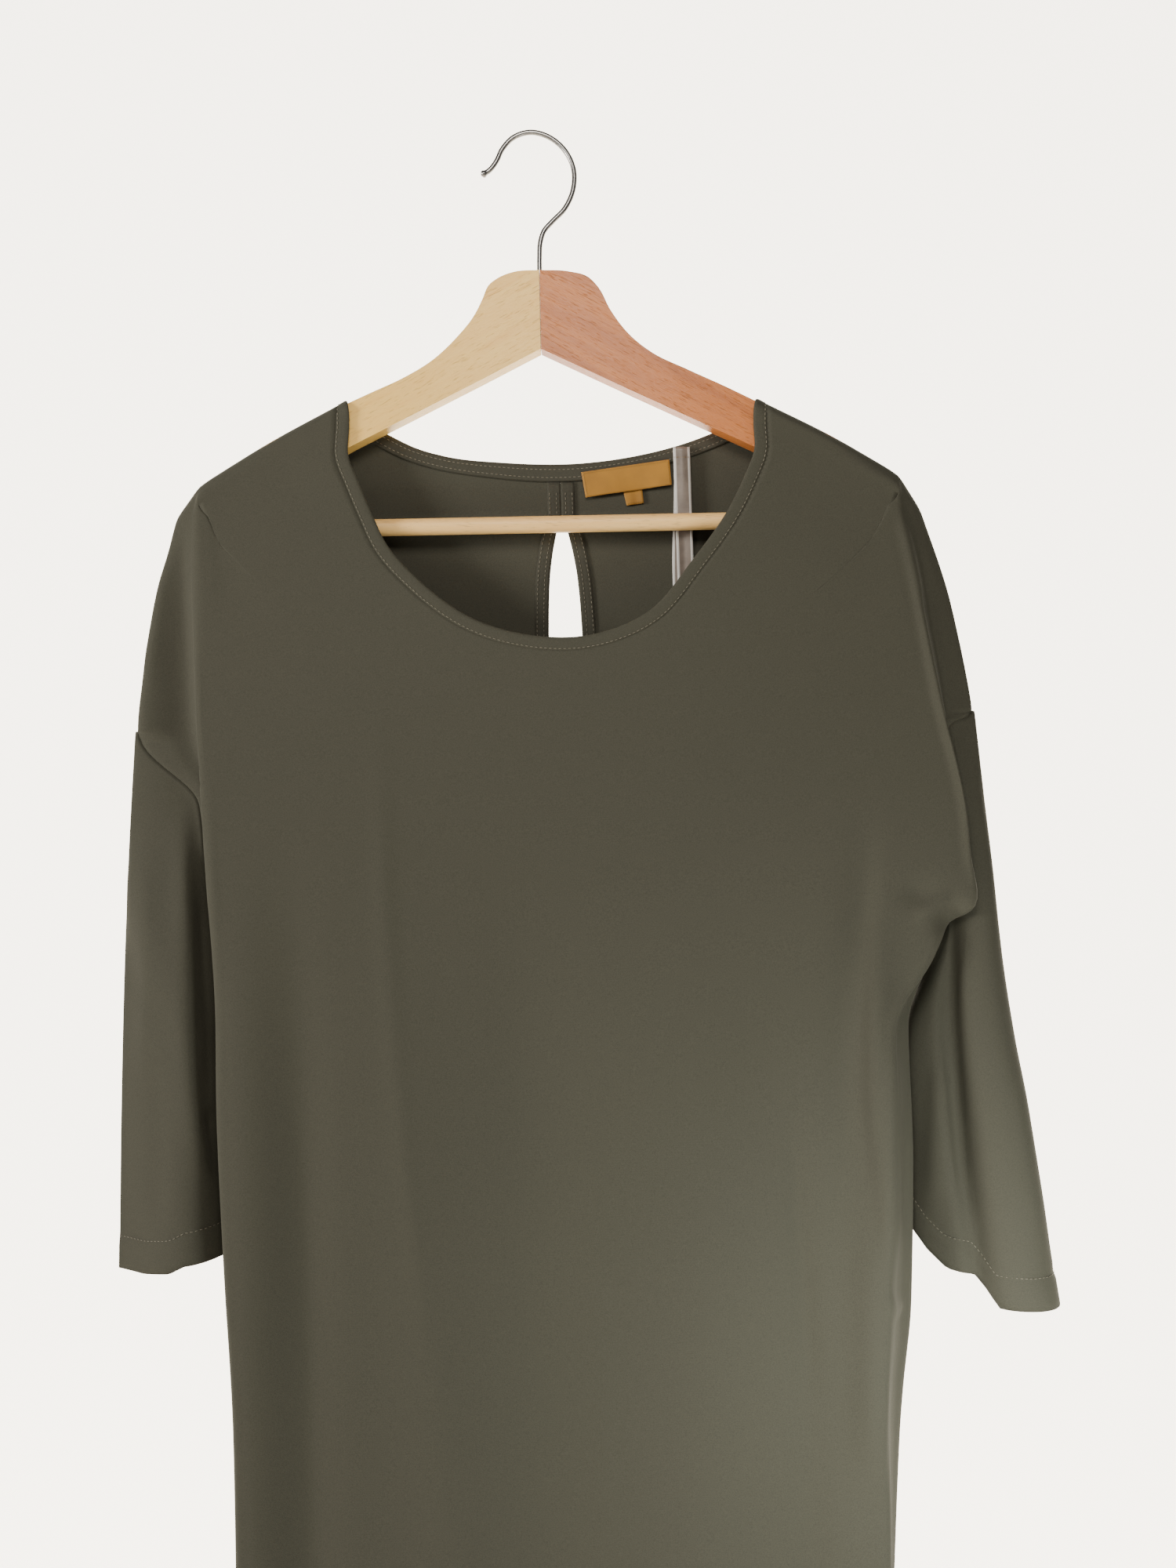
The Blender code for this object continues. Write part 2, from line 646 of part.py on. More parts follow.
def add_facings(tape):
    """The two strips that turn in the edges of the keyhole."""
    top = KEYHOLE[-1][0] - TAPE_DROP
    bottom = KEYHOLE[0][0] - FACING_WIDTH
    heights = np.linspace(top, bottom, FACING_ROWS)
    for name, side in (("keyhole_facing_left", -1), ("keyhole_facing_right", 1)):
        rows = []
        for z in heights:
            inner = 2 * HALF_SEAM
            if z > KEYHOLE[0][0]:
                inner = keyhole_half(z) + SEAM
            places = [keyhole_centre(z) + side * (inner + FACING_WIDTH * k / 2) for k in range(3)]
            rows.append([inside_back(x, z, layer_out(0)) for x in places[::side]])
        add_cloth(name, np.array(rows), TRIM_WALL, tape)


def add_patch(name, corners, layer, across, down, material):
    """A flat four-cornered trim that follows the inside of the back."""
    corners = np.array(corners, dtype=float)
    rows = []
    for i in range(down + 1):
        left = corners[0] + (corners[3] - corners[0]) * i / down
        right = corners[1] + (corners[2] - corners[1]) * i / down
        points = [left + (right - left) * j / across for j in range(across + 1)]
        rows.append([inside_back(x, z, layer_out(layer)) for x, z in points])
    add_cloth(name, np.array(rows), TRIM_WALL, material)


def add_hanging_loop(ribbon):
    """A ribbon that hangs from the back neck and is doubled at its lower end."""
    top_x, top_z = LOOP_TOP
    down = np.linspace(0, 1, LOOP_POINTS)
    rows = []
    for side_name, away, places in (("near", 1, down), ("far", -1, down[::-1])):
        for part in places:
            z = top_z - LOOP_LENGTH * part
            x = top_x + LOOP_LEAN[side_name] * part
            spread = smooth_step(LOOP_ROUND * (1 - part) + LOOP_END)
            out = layer_out(1) + LOOP_BEND * (1 + away * spread)
            rows.append([inside_back(x + side * 0.5 * LOOP_WIDTH, z, out) for side in (-1, 1)])
    add_cloth("hanging_loop", np.array(rows), TRIM_WALL, ribbon)


def board_outline(top, shoulder, end, low, mitre_shift):
    """A hanger board's outline, from the top of the mitre out and back to its foot."""
    mitre_top = (MITRE[0][0] + mitre_shift, MITRE[0][1])
    mitre_foot = (MITRE[1][0] + mitre_shift, MITRE[1][1])
    under_cloth = []
    for station in station_rows()[:sum(STEPS[:ARM_END]) + 1]:
        x, z = (smooth_read(np.arange(len(shoulder)), column(shoulder, SHOULDER_COLUMNS, name), station)
                for name in SHOULDER_COLUMNS)
        under_cloth.append((x, z - np.interp(station, range(ARM_END + 1), CLOTH_REST)))
    upper = round_curve([mitre_top, *top, under_cloth[0]], np.linspace(0, 1, BOARD_POINTS))
    return [tuple(point) for point in upper] + [*under_cloth[1:], *end, *low, mitre_foot]


def add_board(name, outline, wood):
    """A board with the outline's shape, whose long edges are rounded."""
    mesh = bpy.data.meshes.new(name)
    work = bmesh.new()
    bevel = work.edges.layers.float.new("bevel_weight_edge")
    front = [work.verts.new((x * MM, -0.5 * ARM_THICK * MM, z * MM)) for x, z in outline]
    face = work.faces.new(front)
    grown = bmesh.ops.extrude_face_region(work, geom=[face])
    back = [item for item in grown["geom"] if isinstance(item, bmesh.types.BMVert)]
    bmesh.ops.translate(work, verts=back, vec=(0, ARM_THICK * MM, 0))
    bmesh.ops.recalc_face_normals(work, faces=work.faces)
    for edge in work.edges:
        ends = [vertex.co for vertex in edge.verts]
        lies_flat = abs(ends[0].y - ends[1].y) < MM
        on_mitre = all(0 < point.x < (MITRE[1][0] + MITRE_REACH) * MM for point in ends)
        edge[bevel] = 1.0 if lies_flat and not on_mitre else 0.0
    work.to_mesh(mesh)
    work.free()
    item = add_object(name, mesh, wood, smooth_angle=0.6)
    rounding = item.modifiers.new("Rounded edges", "BEVEL")
    rounding.limit_method = "WEIGHT"
    rounding.width = ARM_ROUNDING * MM
    rounding.segments = 3
    return item


def add_bar(wood):
    """The round bar between the ends of the two boards."""
    (left_x, left_z), (right_x, right_z) = BAR_ENDS
    length = math.hypot(right_x - left_x, right_z - left_z)
    tilt = math.atan2(right_z - left_z, right_x - left_x)
    bpy.ops.mesh.primitive_cylinder_add(vertices=20, radius=BAR_RADIUS * MM, depth=length * MM)
    bar = bpy.context.object
    bar.name = "hanger_bar"
    bar.data.name = "hanger_bar"
    bar.location = (0.5 * (left_x + right_x) * MM, 0, 0.5 * (left_z + right_z) * MM)
    bar.rotation_euler = (0, 0.5 * math.pi - tilt, 0)
    bar.data.materials.append(wood)
    bar.data.shade_smooth()
    bar.data.set_sharp_from_angle(angle=0.7)
    for collection in list(bar.users_collection):
        collection.objects.unlink(bar)
    bpy.data.collections["jersey_dress"].objects.link(bar)


def add_hook(steel):
    """The wire hook, from its thicker tip to where it enters the boards."""
    curve = bpy.data.curves.new("hanger_hook", "CURVE")
    curve.dimensions = "3D"
    curve.bevel_depth = WIRE_RADIUS * MM
    curve.bevel_resolution = 2
    curve.use_fill_caps = True
    spline = curve.splines.new("POLY")
    path = round_curve(HOOK, np.linspace(0, 1, HOOK_POINTS))
    spline.points.add(len(path) - 1)
    for k, (x, z) in enumerate(path):
        spline.points[k].co = (x * MM, 0, z * MM, 1)
        spline.points[k].radius = HOOK_TIP if k < TIP_POINTS else 1.0
    hook = bpy.data.objects.new("hanger_hook", curve)
    bpy.data.collections["jersey_dress"].objects.link(hook)
    curve.materials.append(steel)


def add_hanger(pale_wood, warm_wood, bar_wood, steel):
    """Two mitred boards, the bar and the hook."""
    left = board_outline(WOOD_TOP_LEFT, LEFT_SHOULDER, WOOD_END_LEFT, WOOD_LOW_LEFT, -MITRE_GAP)
    right = board_outline(WOOD_TOP_RIGHT, RIGHT_SHOULDER, WOOD_END_RIGHT, WOOD_LOW_RIGHT, MITRE_GAP)
    add_board("hanger_arm_left", left, pale_wood)
    add_board("hanger_arm_right", right, warm_wood)
    add_bar(bar_wood)
    add_hook(steel)


def main():
    """Builds the dress on its hanger."""
    remove_all()
    bpy.context.scene.collection.children.link(bpy.data.collections.new("jersey_dress"))
    cloth = make_material("olive_jersey", (0.085, 0.078, 0.050), 0.85)
    tape = make_material("olive_tape", (0.070, 0.064, 0.042), 0.85)
    ochre = make_material("ochre_weave", (0.42, 0.24, 0.035), 0.7)
    satin = make_material("taupe_satin", (0.20, 0.165, 0.135), 0.4)
    pale_wood = make_material("pale_wood", (0.74, 0.50, 0.27), 0.45)
    warm_wood = make_material("warm_wood", (0.56, 0.27, 0.12), 0.45)
    bar_wood = make_material("bar_wood", (0.76, 0.52, 0.30), 0.5)
    steel = make_material("steel_wire", (0.42, 0.40, 0.38), 0.35, 1.0)
    grids = add_panels(cloth)
    add_sleeves(grids, cloth)
    add_neck_band(grids, cloth)
    add_tape(grids, tape)
    add_facings(tape)
    add_patch("label", LABEL, 1, 8, 2, ochre)
    add_patch("size_tab", SIZE_TAB, 0, 2, 2, ochre)
    add_hanging_loop(satin)
    add_hanger(pale_wood, warm_wood, bar_wood, steel)


main()
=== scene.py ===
"""Looks of a jersey dress with drop shoulders and three-quarter sleeves on a wooden hanger.

The origin is the inside top of the hanger's hook, +X is to the right seen from the front,
+Y goes from the front to the back and +Z is up. Sizes and places in the tables are in
millimetres and are turned into metres where a mesh is made.
"""
import math
import bmesh
import bpy
import numpy as np
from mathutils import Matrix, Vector


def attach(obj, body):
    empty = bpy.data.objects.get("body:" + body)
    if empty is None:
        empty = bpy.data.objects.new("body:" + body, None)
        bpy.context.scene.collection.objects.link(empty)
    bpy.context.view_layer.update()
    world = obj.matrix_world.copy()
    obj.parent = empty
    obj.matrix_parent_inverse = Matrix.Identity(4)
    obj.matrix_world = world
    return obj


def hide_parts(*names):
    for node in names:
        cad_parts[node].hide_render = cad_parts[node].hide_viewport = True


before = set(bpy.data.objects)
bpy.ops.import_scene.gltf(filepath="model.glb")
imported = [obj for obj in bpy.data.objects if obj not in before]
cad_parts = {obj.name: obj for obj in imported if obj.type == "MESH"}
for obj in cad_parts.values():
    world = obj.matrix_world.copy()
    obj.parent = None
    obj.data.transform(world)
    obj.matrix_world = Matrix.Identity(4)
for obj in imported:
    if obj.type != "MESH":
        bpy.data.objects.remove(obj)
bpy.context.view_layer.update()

MM = 0.001

# Cloth and trims
WALL = 0.9
TRIM_WALL = 0.8
WEAVE_WALL = 0.5
SATIN_WALL = 0.35
CAD_WALL = 1.2
CAD_TRIM_WALL = 1.0
SEAM = 0.3
SEAM_TUCK = 0.45
BAND_HALF = 0.95
BAND_TAPER = 12.0
BAND_END = 0.4
BAND_STEP = 0.36
BAND_ROUNDS = 60
BAND_OVERLAP = 1.5
RIB_PITCH = 1.08
RIB_OUT = 0.10
RIB_BEHIND = 0.5
RIB_START = 2.5
RIB_FADE = 2.0
RIM_HEIGHT = 7.0
BAND_STITCH_UP = 0.9

# Section of the neck band: height above the seam, and reach as a share of half its thickness
BAND_PROFILE = ((0.0, 0.62), (0.7, 0.72), (1.8, 0.98), (3.4, 1.0), (5.0, 1.0), (6.4, 1.0),
                (7.3, 0.82), (7.85, 0.45), (8.0, 0.0), (7.85, -0.45), (7.3, -0.82), (6.4, -1.0),
                (4.5, -1.0), (2.5, -0.95), (0.0, -0.62))

# Trim widths, the hanger's sizes, the shoulder's roll over the hanger and the side folds' turns
TAPE_WIDTH = 10.0
TAPE_DROP = 1.0
FACING_WIDTH = 8.5
ARM_THICK = 12.0
ARM_ROUNDING = 4.2
BAR_RADIUS = 5.25
WIRE_RADIUS = 1.6
FOLD_RADIUS = 5.0
FOLD_TURN = (0.45, 0.72)
FACE_START = 2.2
EDGE_TURN = (0.3, 3.2)
SHOULDER_ROLL = 8.2
SHOULDER_DROP = 7.0
ROLL_SQUARE = 0.85
FLANK_DROP = {"front": 4.0, "back": 2.7}
NECK_LEAN = {"front": 0.0, "back": 2.0}
ARM_SLOPE = 0.55

# Mesh rows between the stations of the tables, and columns across a panel
STEPS = (10, 11, 9, 24, 22, 12, 12, 18, 13, 22, 22, 34, 36)
ARM_END = 2
TIP = 5
UNDERARM = 8
FLANK = 6
FLANK_LINES = 22
ROLL = 4
MIDDLE = 96
SLEEVE_ROWS = 72
SIDE_BLEND = 22.0

# Softening below the hanger's arms: rows above their ends, rounds in x, y and z, and for the calm
# middle the rows above the ends, the first column, how many columns it fades over, and its rounds
SOFT_ROWS = 8
SOFT_ROUNDS = (3, 40, 3)
CALM_ROWS = 14
CALM_FROM = 10
CALM_FADE = 12
CALM_ROUNDS = 300

# Shoulder seam over the hanger arm, from the neck point to the arm's end
SHOULDER_COLUMNS = ("x", "z")
LEFT_SHOULDER = ((-119, -169.5), (-160, -191.8), (-204, -219))
RIGHT_SHOULDER = ((146, -168), (186, -187.8), (228, -212))

# Sections below the arm's end: the panel's own edge, the trough and the crest of the side fold
SIDE_COLUMNS = ("z", "edge", "edge_y", "dip", "dip_y", "fold", "fold_y")
FRONT_LEFT = (
    (-240, -219, 0, -214, -7.4, -208, -9.5),
    (-300, -233, 0, -211, -5, -204, -15),
    (-371, -243, 0, -207, -4, -200, -20),
    (-417, -205, 1, -195, -7, -198, -21),
    (-465, -200, 1, -190, -7, -195, -21),
    (-545, -190, 1, -185, -6, -190, -17),
    (-600, -184, 1, -185, -7, -189, -18),
    (-700, -179, 1, -181, -8, -184, -20),
    (-800, -173, 1, -176, -9, -178, -22),
    (-960, -168, 1, -172, -10, -175, -24),
    (-1127, -166, 1, -170, -11, -173, -25),
)
FRONT_RIGHT = (
    (-234, 242, 0, 237, -7.4, 230, -9.5),
    (-292, 261, 0, 246, -5, 238, -17),
    (-358, 274, 0, 257, -4, 250, -23),
    (-370, 260, 1, 249, -7, 253, -24),
    (-435, 264, 1, 255, -7, 265, -25),
    (-505, 251, 1, 244, -6, 248, -18),
    (-555, 235, 1, 230, -9, 222, -22),
    (-640, 238, 1, 229, -12, 219, -29),
    (-720, 237, 1, 228, -12, 219, -29),
    (-800, 230, 1, 223, -12, 217, -26),
    (-1127, 219, 1, 221, -10, 223, -24),
)
BACK_COLUMNS = ("dip", "dip_y", "fold", "fold_y")
BACK_LEFT = (
    (-214, 7.4, -209, 9.5),
    (-213, 5, -206, 14),
    (-209, 6, -201, 19),
    (-195, 12, -197, 23),
    (-189, 12, -193, 23),
    (-184, 9, -187, 18),
    (-180, 9, -182, 20),
    (-176, 10, -178, 23),
    (-171, 11, -173, 25),
    (-167, 12, -170, 27),
    (-165, 12, -168, 28),
)
BACK_RIGHT = (
    (238, 7.4, 232, 9.5),
    (249, 5, 240, 15),
    (261, 6, 251, 21),
    (249, 12, 252, 24),
    (252, 12, 256, 24),
    (244, 9, 247, 18),
    (231, 9, 232, 20),
    (233, 10, 234, 23),
    (232, 11, 233, 25),
    (226, 12, 228, 27),
    (216, 12, 219, 28),
)
ARMHOLE_OPEN = {"front": 4.5, "back": 8.0}
LEFT_SIDE = (LEFT_SHOULDER, FRONT_LEFT, BACK_LEFT, 1)
RIGHT_SIDE = (RIGHT_SHOULDER, FRONT_RIGHT, BACK_RIGHT, -1)

# Seam line of the scoop neck in front and the edge of the neck at the back, as x and z
FRONT_NECK = ((-119.5, -203), (-113, -220), (-104, -241), (-95, -260), (-74, -284), (-36, -311),
              (2, -321.5), (39, -321), (78, -305), (107, -271), (131, -236), (140, -217),
              (146.5, -199))
BACK_NECK = ((-90, -184), (-72, -192.5), (-54, -197.5), (-17, -201.5), (30, -202),
             (65, -197.5), (100, -188.5), (117, -182))
NECK_FADE = 560.0
NECK_SAG = 0.3

# Depth of the flat middle of each panel at some heights, and the long soft folds on it
DEPTH_COLUMNS = ("z", "front", "back")
DEPTH = ((-1127, -30, 32), (-800, -26, 28), (-620, -25, 26), (-450, -23, 23), (-320, -17, 16),
         (-230, -12, 12), (-165, -9, 9))
FOLD_GROWS = 0.35
FOLD_ENDS = 1.05
FOLD_FADES = 0.25
LONG_FOLD_COLUMNS = ("top_x", "top_z", "low_x", "low_z", "width", "out")
FRONT_FOLDS = (
    (-172, -400, -160, -1127, 20, 5.0),
    (-137, -460, -126, -1127, 15, -4.0),
    (-89, -440, -20, -1127, 22, 3.0),
    (8, -430, 30, -1127, 46, -5.0),
    (110, -480, 104, -1127, 30, 3.5),
    (160, -560, 178, -1127, 13, -3.0),
    (210, -470, 208, -760, 13, 8.0),
)
BACK_FOLDS = (
    (-150, -430, -138, -1127, 24, 5.0),
    (-60, -470, -48, -1127, 30, -4.0),
    (30, -450, 26, -1127, 30, 4.0),
    (110, -460, 98, -1127, 30, -4.5),
    (186, -470, 176, -1127, 22, 5.0),
)

# Creases pressed into a face: a path of x and z points, how wide it is to the left and to the
# right of the path going down, and how far it stands out of the cloth
CREASE_COLUMNS = ("path", "left", "right", "out")
CREASE_FADES = 0.3
PATH_POINTS = 180
FRONT_CREASES = (
    (((207, -405), (205, -470), (200, -530), (199, -590), (205, -650), (207, -720)), 14, 5, -3.5),
    (((222, -545), (220, -600), (220, -660), (222, -715)), 8, 7, 3.0),
    (((212, -709), (220, -719), (229, -729)), 4, 4, 1.6),
    (((232, -486), (244, -478), (256, -470)), 3, 4, 2.0),
    (((238, -240), (252, -290), (262, -345)), 4, 3, 1.6),
    (((226, -232), (234, -262), (243, -300)), 4, 3, 1.0),
    (((-226, -255), (-232, -300), (-236, -350)), 6, 5, 1.2),
    (((157, -595), (164, -690), (172, -795)), 4, 6, -1.6),
    (((-10, -420), (-6, -540), (2, -700), (12, -1000)), 22, 30, -1.6),
    (((-146, -400), (-143, -520), (-138, -650), (-130, -1000)), 22, 14, -1.8),
    (((-92, -347), (-89, -410), (-87, -474), (-77, -600), (-66, -700), (-56, -795)), 5, 5, 1.2),
    (((40, -620), (44, -760), (50, -900)), 9, 6, 0.7),
)
BACK_CREASES = (
    (((-206, -250), (-160, -330), (-110, -380)), 16, 12, 1.8),
    (((232, -250), (190, -330), (140, -390)), 14, 16, 1.8),
    (((-30, -400), (-20, -560), (-26, -720)), 12, 9, 1.2),
    (((80, -420), (72, -600), (76, -800)), 9, 12, 1.2),
    (((-168, -560), (-150, -700), (-146, -900)), 8, 6, 1.5),
    (((200, -520), (186, -640), (190, -820)), 6, 8, 1.6),
)
LEFT_CREASES = (
    (((-216, -404), (-212, -455), (-209.5, -512), (-208, -562), (-205, -600), (-199, -640),
      (-196, -684)), 8, 3, 4.0),
    (((-204, -440), (-200, -520), (-197, -580), (-195, -625)), 4, 5, -4.0),
    (((-197, -600), (-194, -625), (-191, -650)), 4, 5, -6.0),
    (((-240, -430), (-236, -520), (-238, -600)), 7, 6, 0.9),
    (((-230, -560), (-226, -620), (-228, -690)), 8, 7, -1.2),
)
RIGHT_CREASES = (
    (((272, -380), (277, -410), (281, -440)), 3, 3, 1.2),
    (((261, -470), (260, -520), (262, -570), (266, -630), (272, -690)), 6, 4, -5.0),
    (((254, -560), (252, -620), (250, -680)), 5, 6, 2.0),
    (((300, -560), (308, -630), (316, -700)), 8, 9, 1.5),
)
# Local pushes: a middle, a radius and a move, all as x, y and z
FRONT_PUSHES = (
    ((262, -24, -472), (14, 14, 20), (12, -1, -7)),
    ((258, -21, -488), (9, 12, 9), (0, 11, 1)),
    ((236, -22, -470), (10, 10, 7), (0, 2.5, 0)),
)
SLEEVE_PUSHES = {
    "left_sleeve": (),
    "right_sleeve": (((246, 8, -545), (12, 14, 38), (-7, 3, 0)),),
}

# Keyhole at the back neck: half its width at some heights, on a line that leans a little
KEYHOLE_COLUMNS = ("z", "half")
KEYHOLE = ((-380, 1.5), (-374, 5.0), (-360, 8.4), (-340, 10.3), (-315, 10.6), (-292, 9.9),
           (-274, 8.7), (-256, 6.0), (-242, 2.9), (-232, 1.6), (-213, 1.5))
KEYHOLE_X = 18.7
KEYHOLE_LEAN = 0.033
KEYHOLE_SPREAD_LENGTH = 120.0
KEYHOLE_REACH = 3.0

# The facings meet above the keyhole: over which heights they close and how far each then stays
# from the middle line
FACINGS_SHUT = (-246.0, -236.0)
FACINGS_APART = 0.05

# Sleeve sections, from below the armhole to the cuff
RING_COLUMNS = ("outer", "outer_z", "inner", "inner_y", "inner_z", "front", "front_at",
                "back", "back_at", "crease_at", "crease")
LEFT_RINGS = (
    (-249, -440, -194, 7, -564, -13, 0.62, 24, 0.5, 0.5, 0),
    (-252, -520, -189, 10, -600, -15, 0.64, 27, 0.5, 0.5, 0),
    (-254, -610, -186, 12, -645, -17, 0.66, 30, 0.5, 0.5, 0),
    (-255, -705, -183.5, 13, -694, -20, 0.68, 32, 0.5, 0.5, 0),
)
RIGHT_RINGS = (
    (284, -430, 250.5, 8, -530, -11, 0.42, 25, 0.5, 0.66, 2),
    (294, -520, 239.0, 10, -580, -15, 0.38, 28, 0.5, 0.62, 5),
    (309, -610, 240.0, 12, -632, -19, 0.36, 31, 0.5, 0.58, 7),
    (327, -720, 241.0, 13, -682, -22, 0.36, 34, 0.5, 0.58, 8),
)
LEFT_CUFF = ((-256, -705), (-236, -705), (-218, -702), (-209, -697), (-184, -694))
RIGHT_CUFF = ((240, -682), (248, -694), (258, -703), (274, -706), (280, -712), (287, -723),
              (328, -724))
CUFF_DROPS_FROM = 0.35
CREASE_WIDTH = 0.1
SECTION_SQUARE = 0.6
COLLAR = 2.6
COLLAR_ROUNDS = 3
UNDERARM_WAY = (1, 0, 0.4)

# Hanger boards seen from the front, as x and z
WOOD_TOP_LEFT = ((-10, -87.6), (-19, -91), (-25.5, -96), (-29, -104), (-34, -114),
                 (-46, -129), (-60, -142), (-78, -153), (-98, -162.2))
WOOD_END_LEFT = ((-209, -232), (-208, -246), (-203, -253), (-191, -254), (-189.8, -241))
WOOD_LOW_LEFT = ((-110.3, -195.3), (-30, -154.3))
WOOD_TOP_RIGHT = ((24, -87.2), (36, -90.5), (42.5, -97), (50, -111), (62, -126.5),
                  (76, -137.5), (97, -147.5), (122, -158.8))
WOOD_END_RIGHT = ((233, -225), (232, -238), (227, -245), (216, -246), (214.6, -233))
WOOD_LOW_RIGHT = ((140.4, -196.3), (56, -157.7))
MITRE = ((6.0, -86.4), (7.0, -135.1))
MITRE_GAP = 0.17
MITRE_REACH = 3.0
CLOTH_REST = (2.4, 1.1, 2.2)
BOARD_POINTS = {"upper": 61, "under_cloth": 21, "corner": 25}
BOARD_ROUNDING_STEPS = 7
BOARD_SHARP = 0.6
ROUND_SHARP = 0.8
BAR_ENDS = ((-189.2, -246.4), (214.0, -238.6))
BAR_POINTS = 41
BAR_SIDES = 40
BAR_BEVEL = 0.8
HOOK = ((-30.5, -25.3), (-25.0, -21.8), (-21.0, -16.5), (-17.5, -9.2), (-10.0, -1.4), (0.0, 1.6),
        (11.0, -1.0), (21.5, -9.5), (27.0, -21.0), (26.8, -34.0), (21.5, -46.0), (13.5, -54.3),
        (8.6, -60.0), (6.4, -67.0), (5.9, -76.0), (6.0, -89.0))
HOOK_POINTS = 161
HOOK_SIDES = 18

# Knob at the hook's tip: how much thicker it is, where the wire's own size starts and over how
# much it fades, how far the tip is rounded, and the smallest share left at the point
KNOB = 0.45
KNOB_END = 2.2
KNOB_FADE = 1.2
TIP_ROUND = 2.0
TIP_LEAST = 0.02

# Trims inside the back neck, seen from the front
LABEL = ((31.8, -208.0), (87.2, -200.0), (88.8, -215.9), (34.6, -223.8))
SIZE_TAB = ((57.0, -214.0), (69.5, -212.3), (71.3, -227.0), (60.5, -228.6))
LOOP_TOP = (94.6, -193.0)
LOOP_LENGTH = 135.0
LOOP_WIDTH = 10.4
LOOP_BEND = 1.6
LOOP_LEAN = {"near": 5.0, "far": 1.0}
LOOP_ROUND = 8.0
LOOP_END = 0.15
LOOP_ROWS = 70
LOOP_COLUMNS = 11
LOOP_EDGE = 1.5
LOOP_SWAY = (0.6, 9.0)
LOOP_CURL = (0.5, 7.0)
LOOP_SEAM = 6.5
RIM_DROP = 0.3
TAPE_LINES = 9
TAPE_SEAMS = (2, 6)
TAPE_DIP = 0.18
FACING_ROWS = 60
FACING_LINES = 7
FACING_SEAMS = {-1: (1, 4), 1: (2, 5)}
FACING_DIP = 0.16
FACING_MET = 0.4

# Each trim's stitches: pitch, length and radius
LABEL_STITCH = (1.5, 1.0, 0.16)
LOOP_STITCH = (1.7, 1.2, 0.15)
LABEL_STITCH_OUT = 0.3
LOOP_STITCH_OUT = 0.5

# Floor and backdrop: points of their profile as y and z in metres, and how much they glow
STAGE_REACH = 5.0
STAGES = (
    ("floor", ((-4.0, -2.3), (2.2, -2.3)), 0.0),
    ("backdrop", ((2.2, -2.3), (2.2, 3.0)), 5.2),
)

# Stitches, their rows above the hem and the cuffs, and the turned cloth under them
STITCH = (2.9, 1.8, 0.22)
STITCH_SIDES = 6
STITCH_BOW = 0.4
STITCH_PROFILE = ((-1.0, 0.1), (-0.8, 0.75), (-0.3, 1.0), (0.3, 1.0), (0.8, 0.75), (1.0, 0.1))
HEM_ROWS = (18.0, 21.5)
CUFF_ROWS = (13.0, 20.0)
HEM_OUT = 0.55
HEM_SOFT = 2.5
HEM_GROOVE = 0.5
HEM_GROOVE_AT = 0.5
HEM_GROOVE_WIDTH = 1.3

# Knit stitches, in metres, and the colours of cloth and thread
WALE = 0.00085
COURSE = 0.0007
OLIVE_JERSEY = ((0.062, 0.0585, 0.0425), (0.0555, 0.0535, 0.039))
OLIVE_TAPE = ((0.056, 0.0525, 0.039), (0.050, 0.048, 0.035))
BEIGE = (0.22, 0.195, 0.14)
OCHRE = (0.30, 0.17, 0.03)

# Woods: the grain's turn about Y in degrees, three colours, the pale flecks and the streaks
WOOD_STOPS = (0.30, 0.55, 0.80)
WOODS = {
    "pale_wood": (30, ((0.88, 0.46, 0.085), (1.0, 0.62, 0.15), (0.94, 0.53, 0.115)),
                  (1.0, 0.82, 0.42), 0.35),
    "warm_wood": (-28, ((0.40, 0.105, 0.019), (0.62, 0.19, 0.036), (0.52, 0.150, 0.028)),
                  (0.85, 0.42, 0.18), 0.5),
    "bar_wood": (-1, ((0.96, 0.53, 0.165), (1.0, 0.62, 0.22), (0.98, 0.57, 0.19)),
                 (1.0, 0.82, 0.50), 0.12),
}

# Lights, in metres and watts, each with a place, a target, a size, a power and a colour: window
# light from the lower right, and softer light from in front and from the left
LIGHTS = (
    ("window", (0.34, -0.31, -0.78), (0.2, 0.0, -0.82), 0.2, 2.2, (0.94, 1.0, 0.97)),
    ("ceiling", (0.0, -0.8, 0.15), (0.0, 0.0, -0.3), 0.3, 4.9, (1.0, 0.955, 0.885)),
    ("left", (-2.2, -1.0, -0.2), (0.0, 0.0, -0.5), 0.6, 62.0, (1.0, 0.985, 0.945)),
)
WORLD_COLOUR = (1.0, 0.985, 0.955, 1.0)
WORLD_STRENGTH = 0.12

# The photograph's view
CAMERA_PLACE = (0.0361, -0.8, -0.4041)
CAMERA_LENS = 29.5
CAMERA_SENSOR = 36.0


def column(table, names, name):
    """One named column of a table, as an array."""
    return np.array([row[names.index(name)] for row in table], dtype=float)


def smooth_read(keys, values, at):
    """Read a curve through the values, one that never swings past them, at some places."""
    keys = np.asarray(keys, dtype=float)
    steps = np.diff(keys)
    slopes = np.diff(values) / steps
    tangents = np.zeros(len(keys))
    tangents[0] = slopes[0]
    tangents[-1] = slopes[-1]
    for i in range(1, len(keys) - 1):
        if slopes[i - 1] * slopes[i] > 0:
            left = 2 * steps[i] + steps[i - 1]
            right = steps[i] + 2 * steps[i - 1]
            tangents[i] = (left + right) / (left / slopes[i - 1] + right / slopes[i])
    place = np.clip(np.searchsorted(keys, at) - 1, 0, len(keys) - 2)
    t = np.clip((at - keys[place]) / steps[place], 0.0, 1.0)
    rise = (3 - 2 * t) * t * t
    bend = (1 - t) * tangents[place] - t * tangents[place + 1]
    return values[place] + (values[place + 1] - values[place]) * rise + steps[place] * t * (1 - t) * bend


def lengths_along(points):
    """Distance from the first point of a line to each of its points."""
    return np.concatenate(([0], np.cumsum(np.linalg.norm(np.diff(points, axis=0), axis=1))))


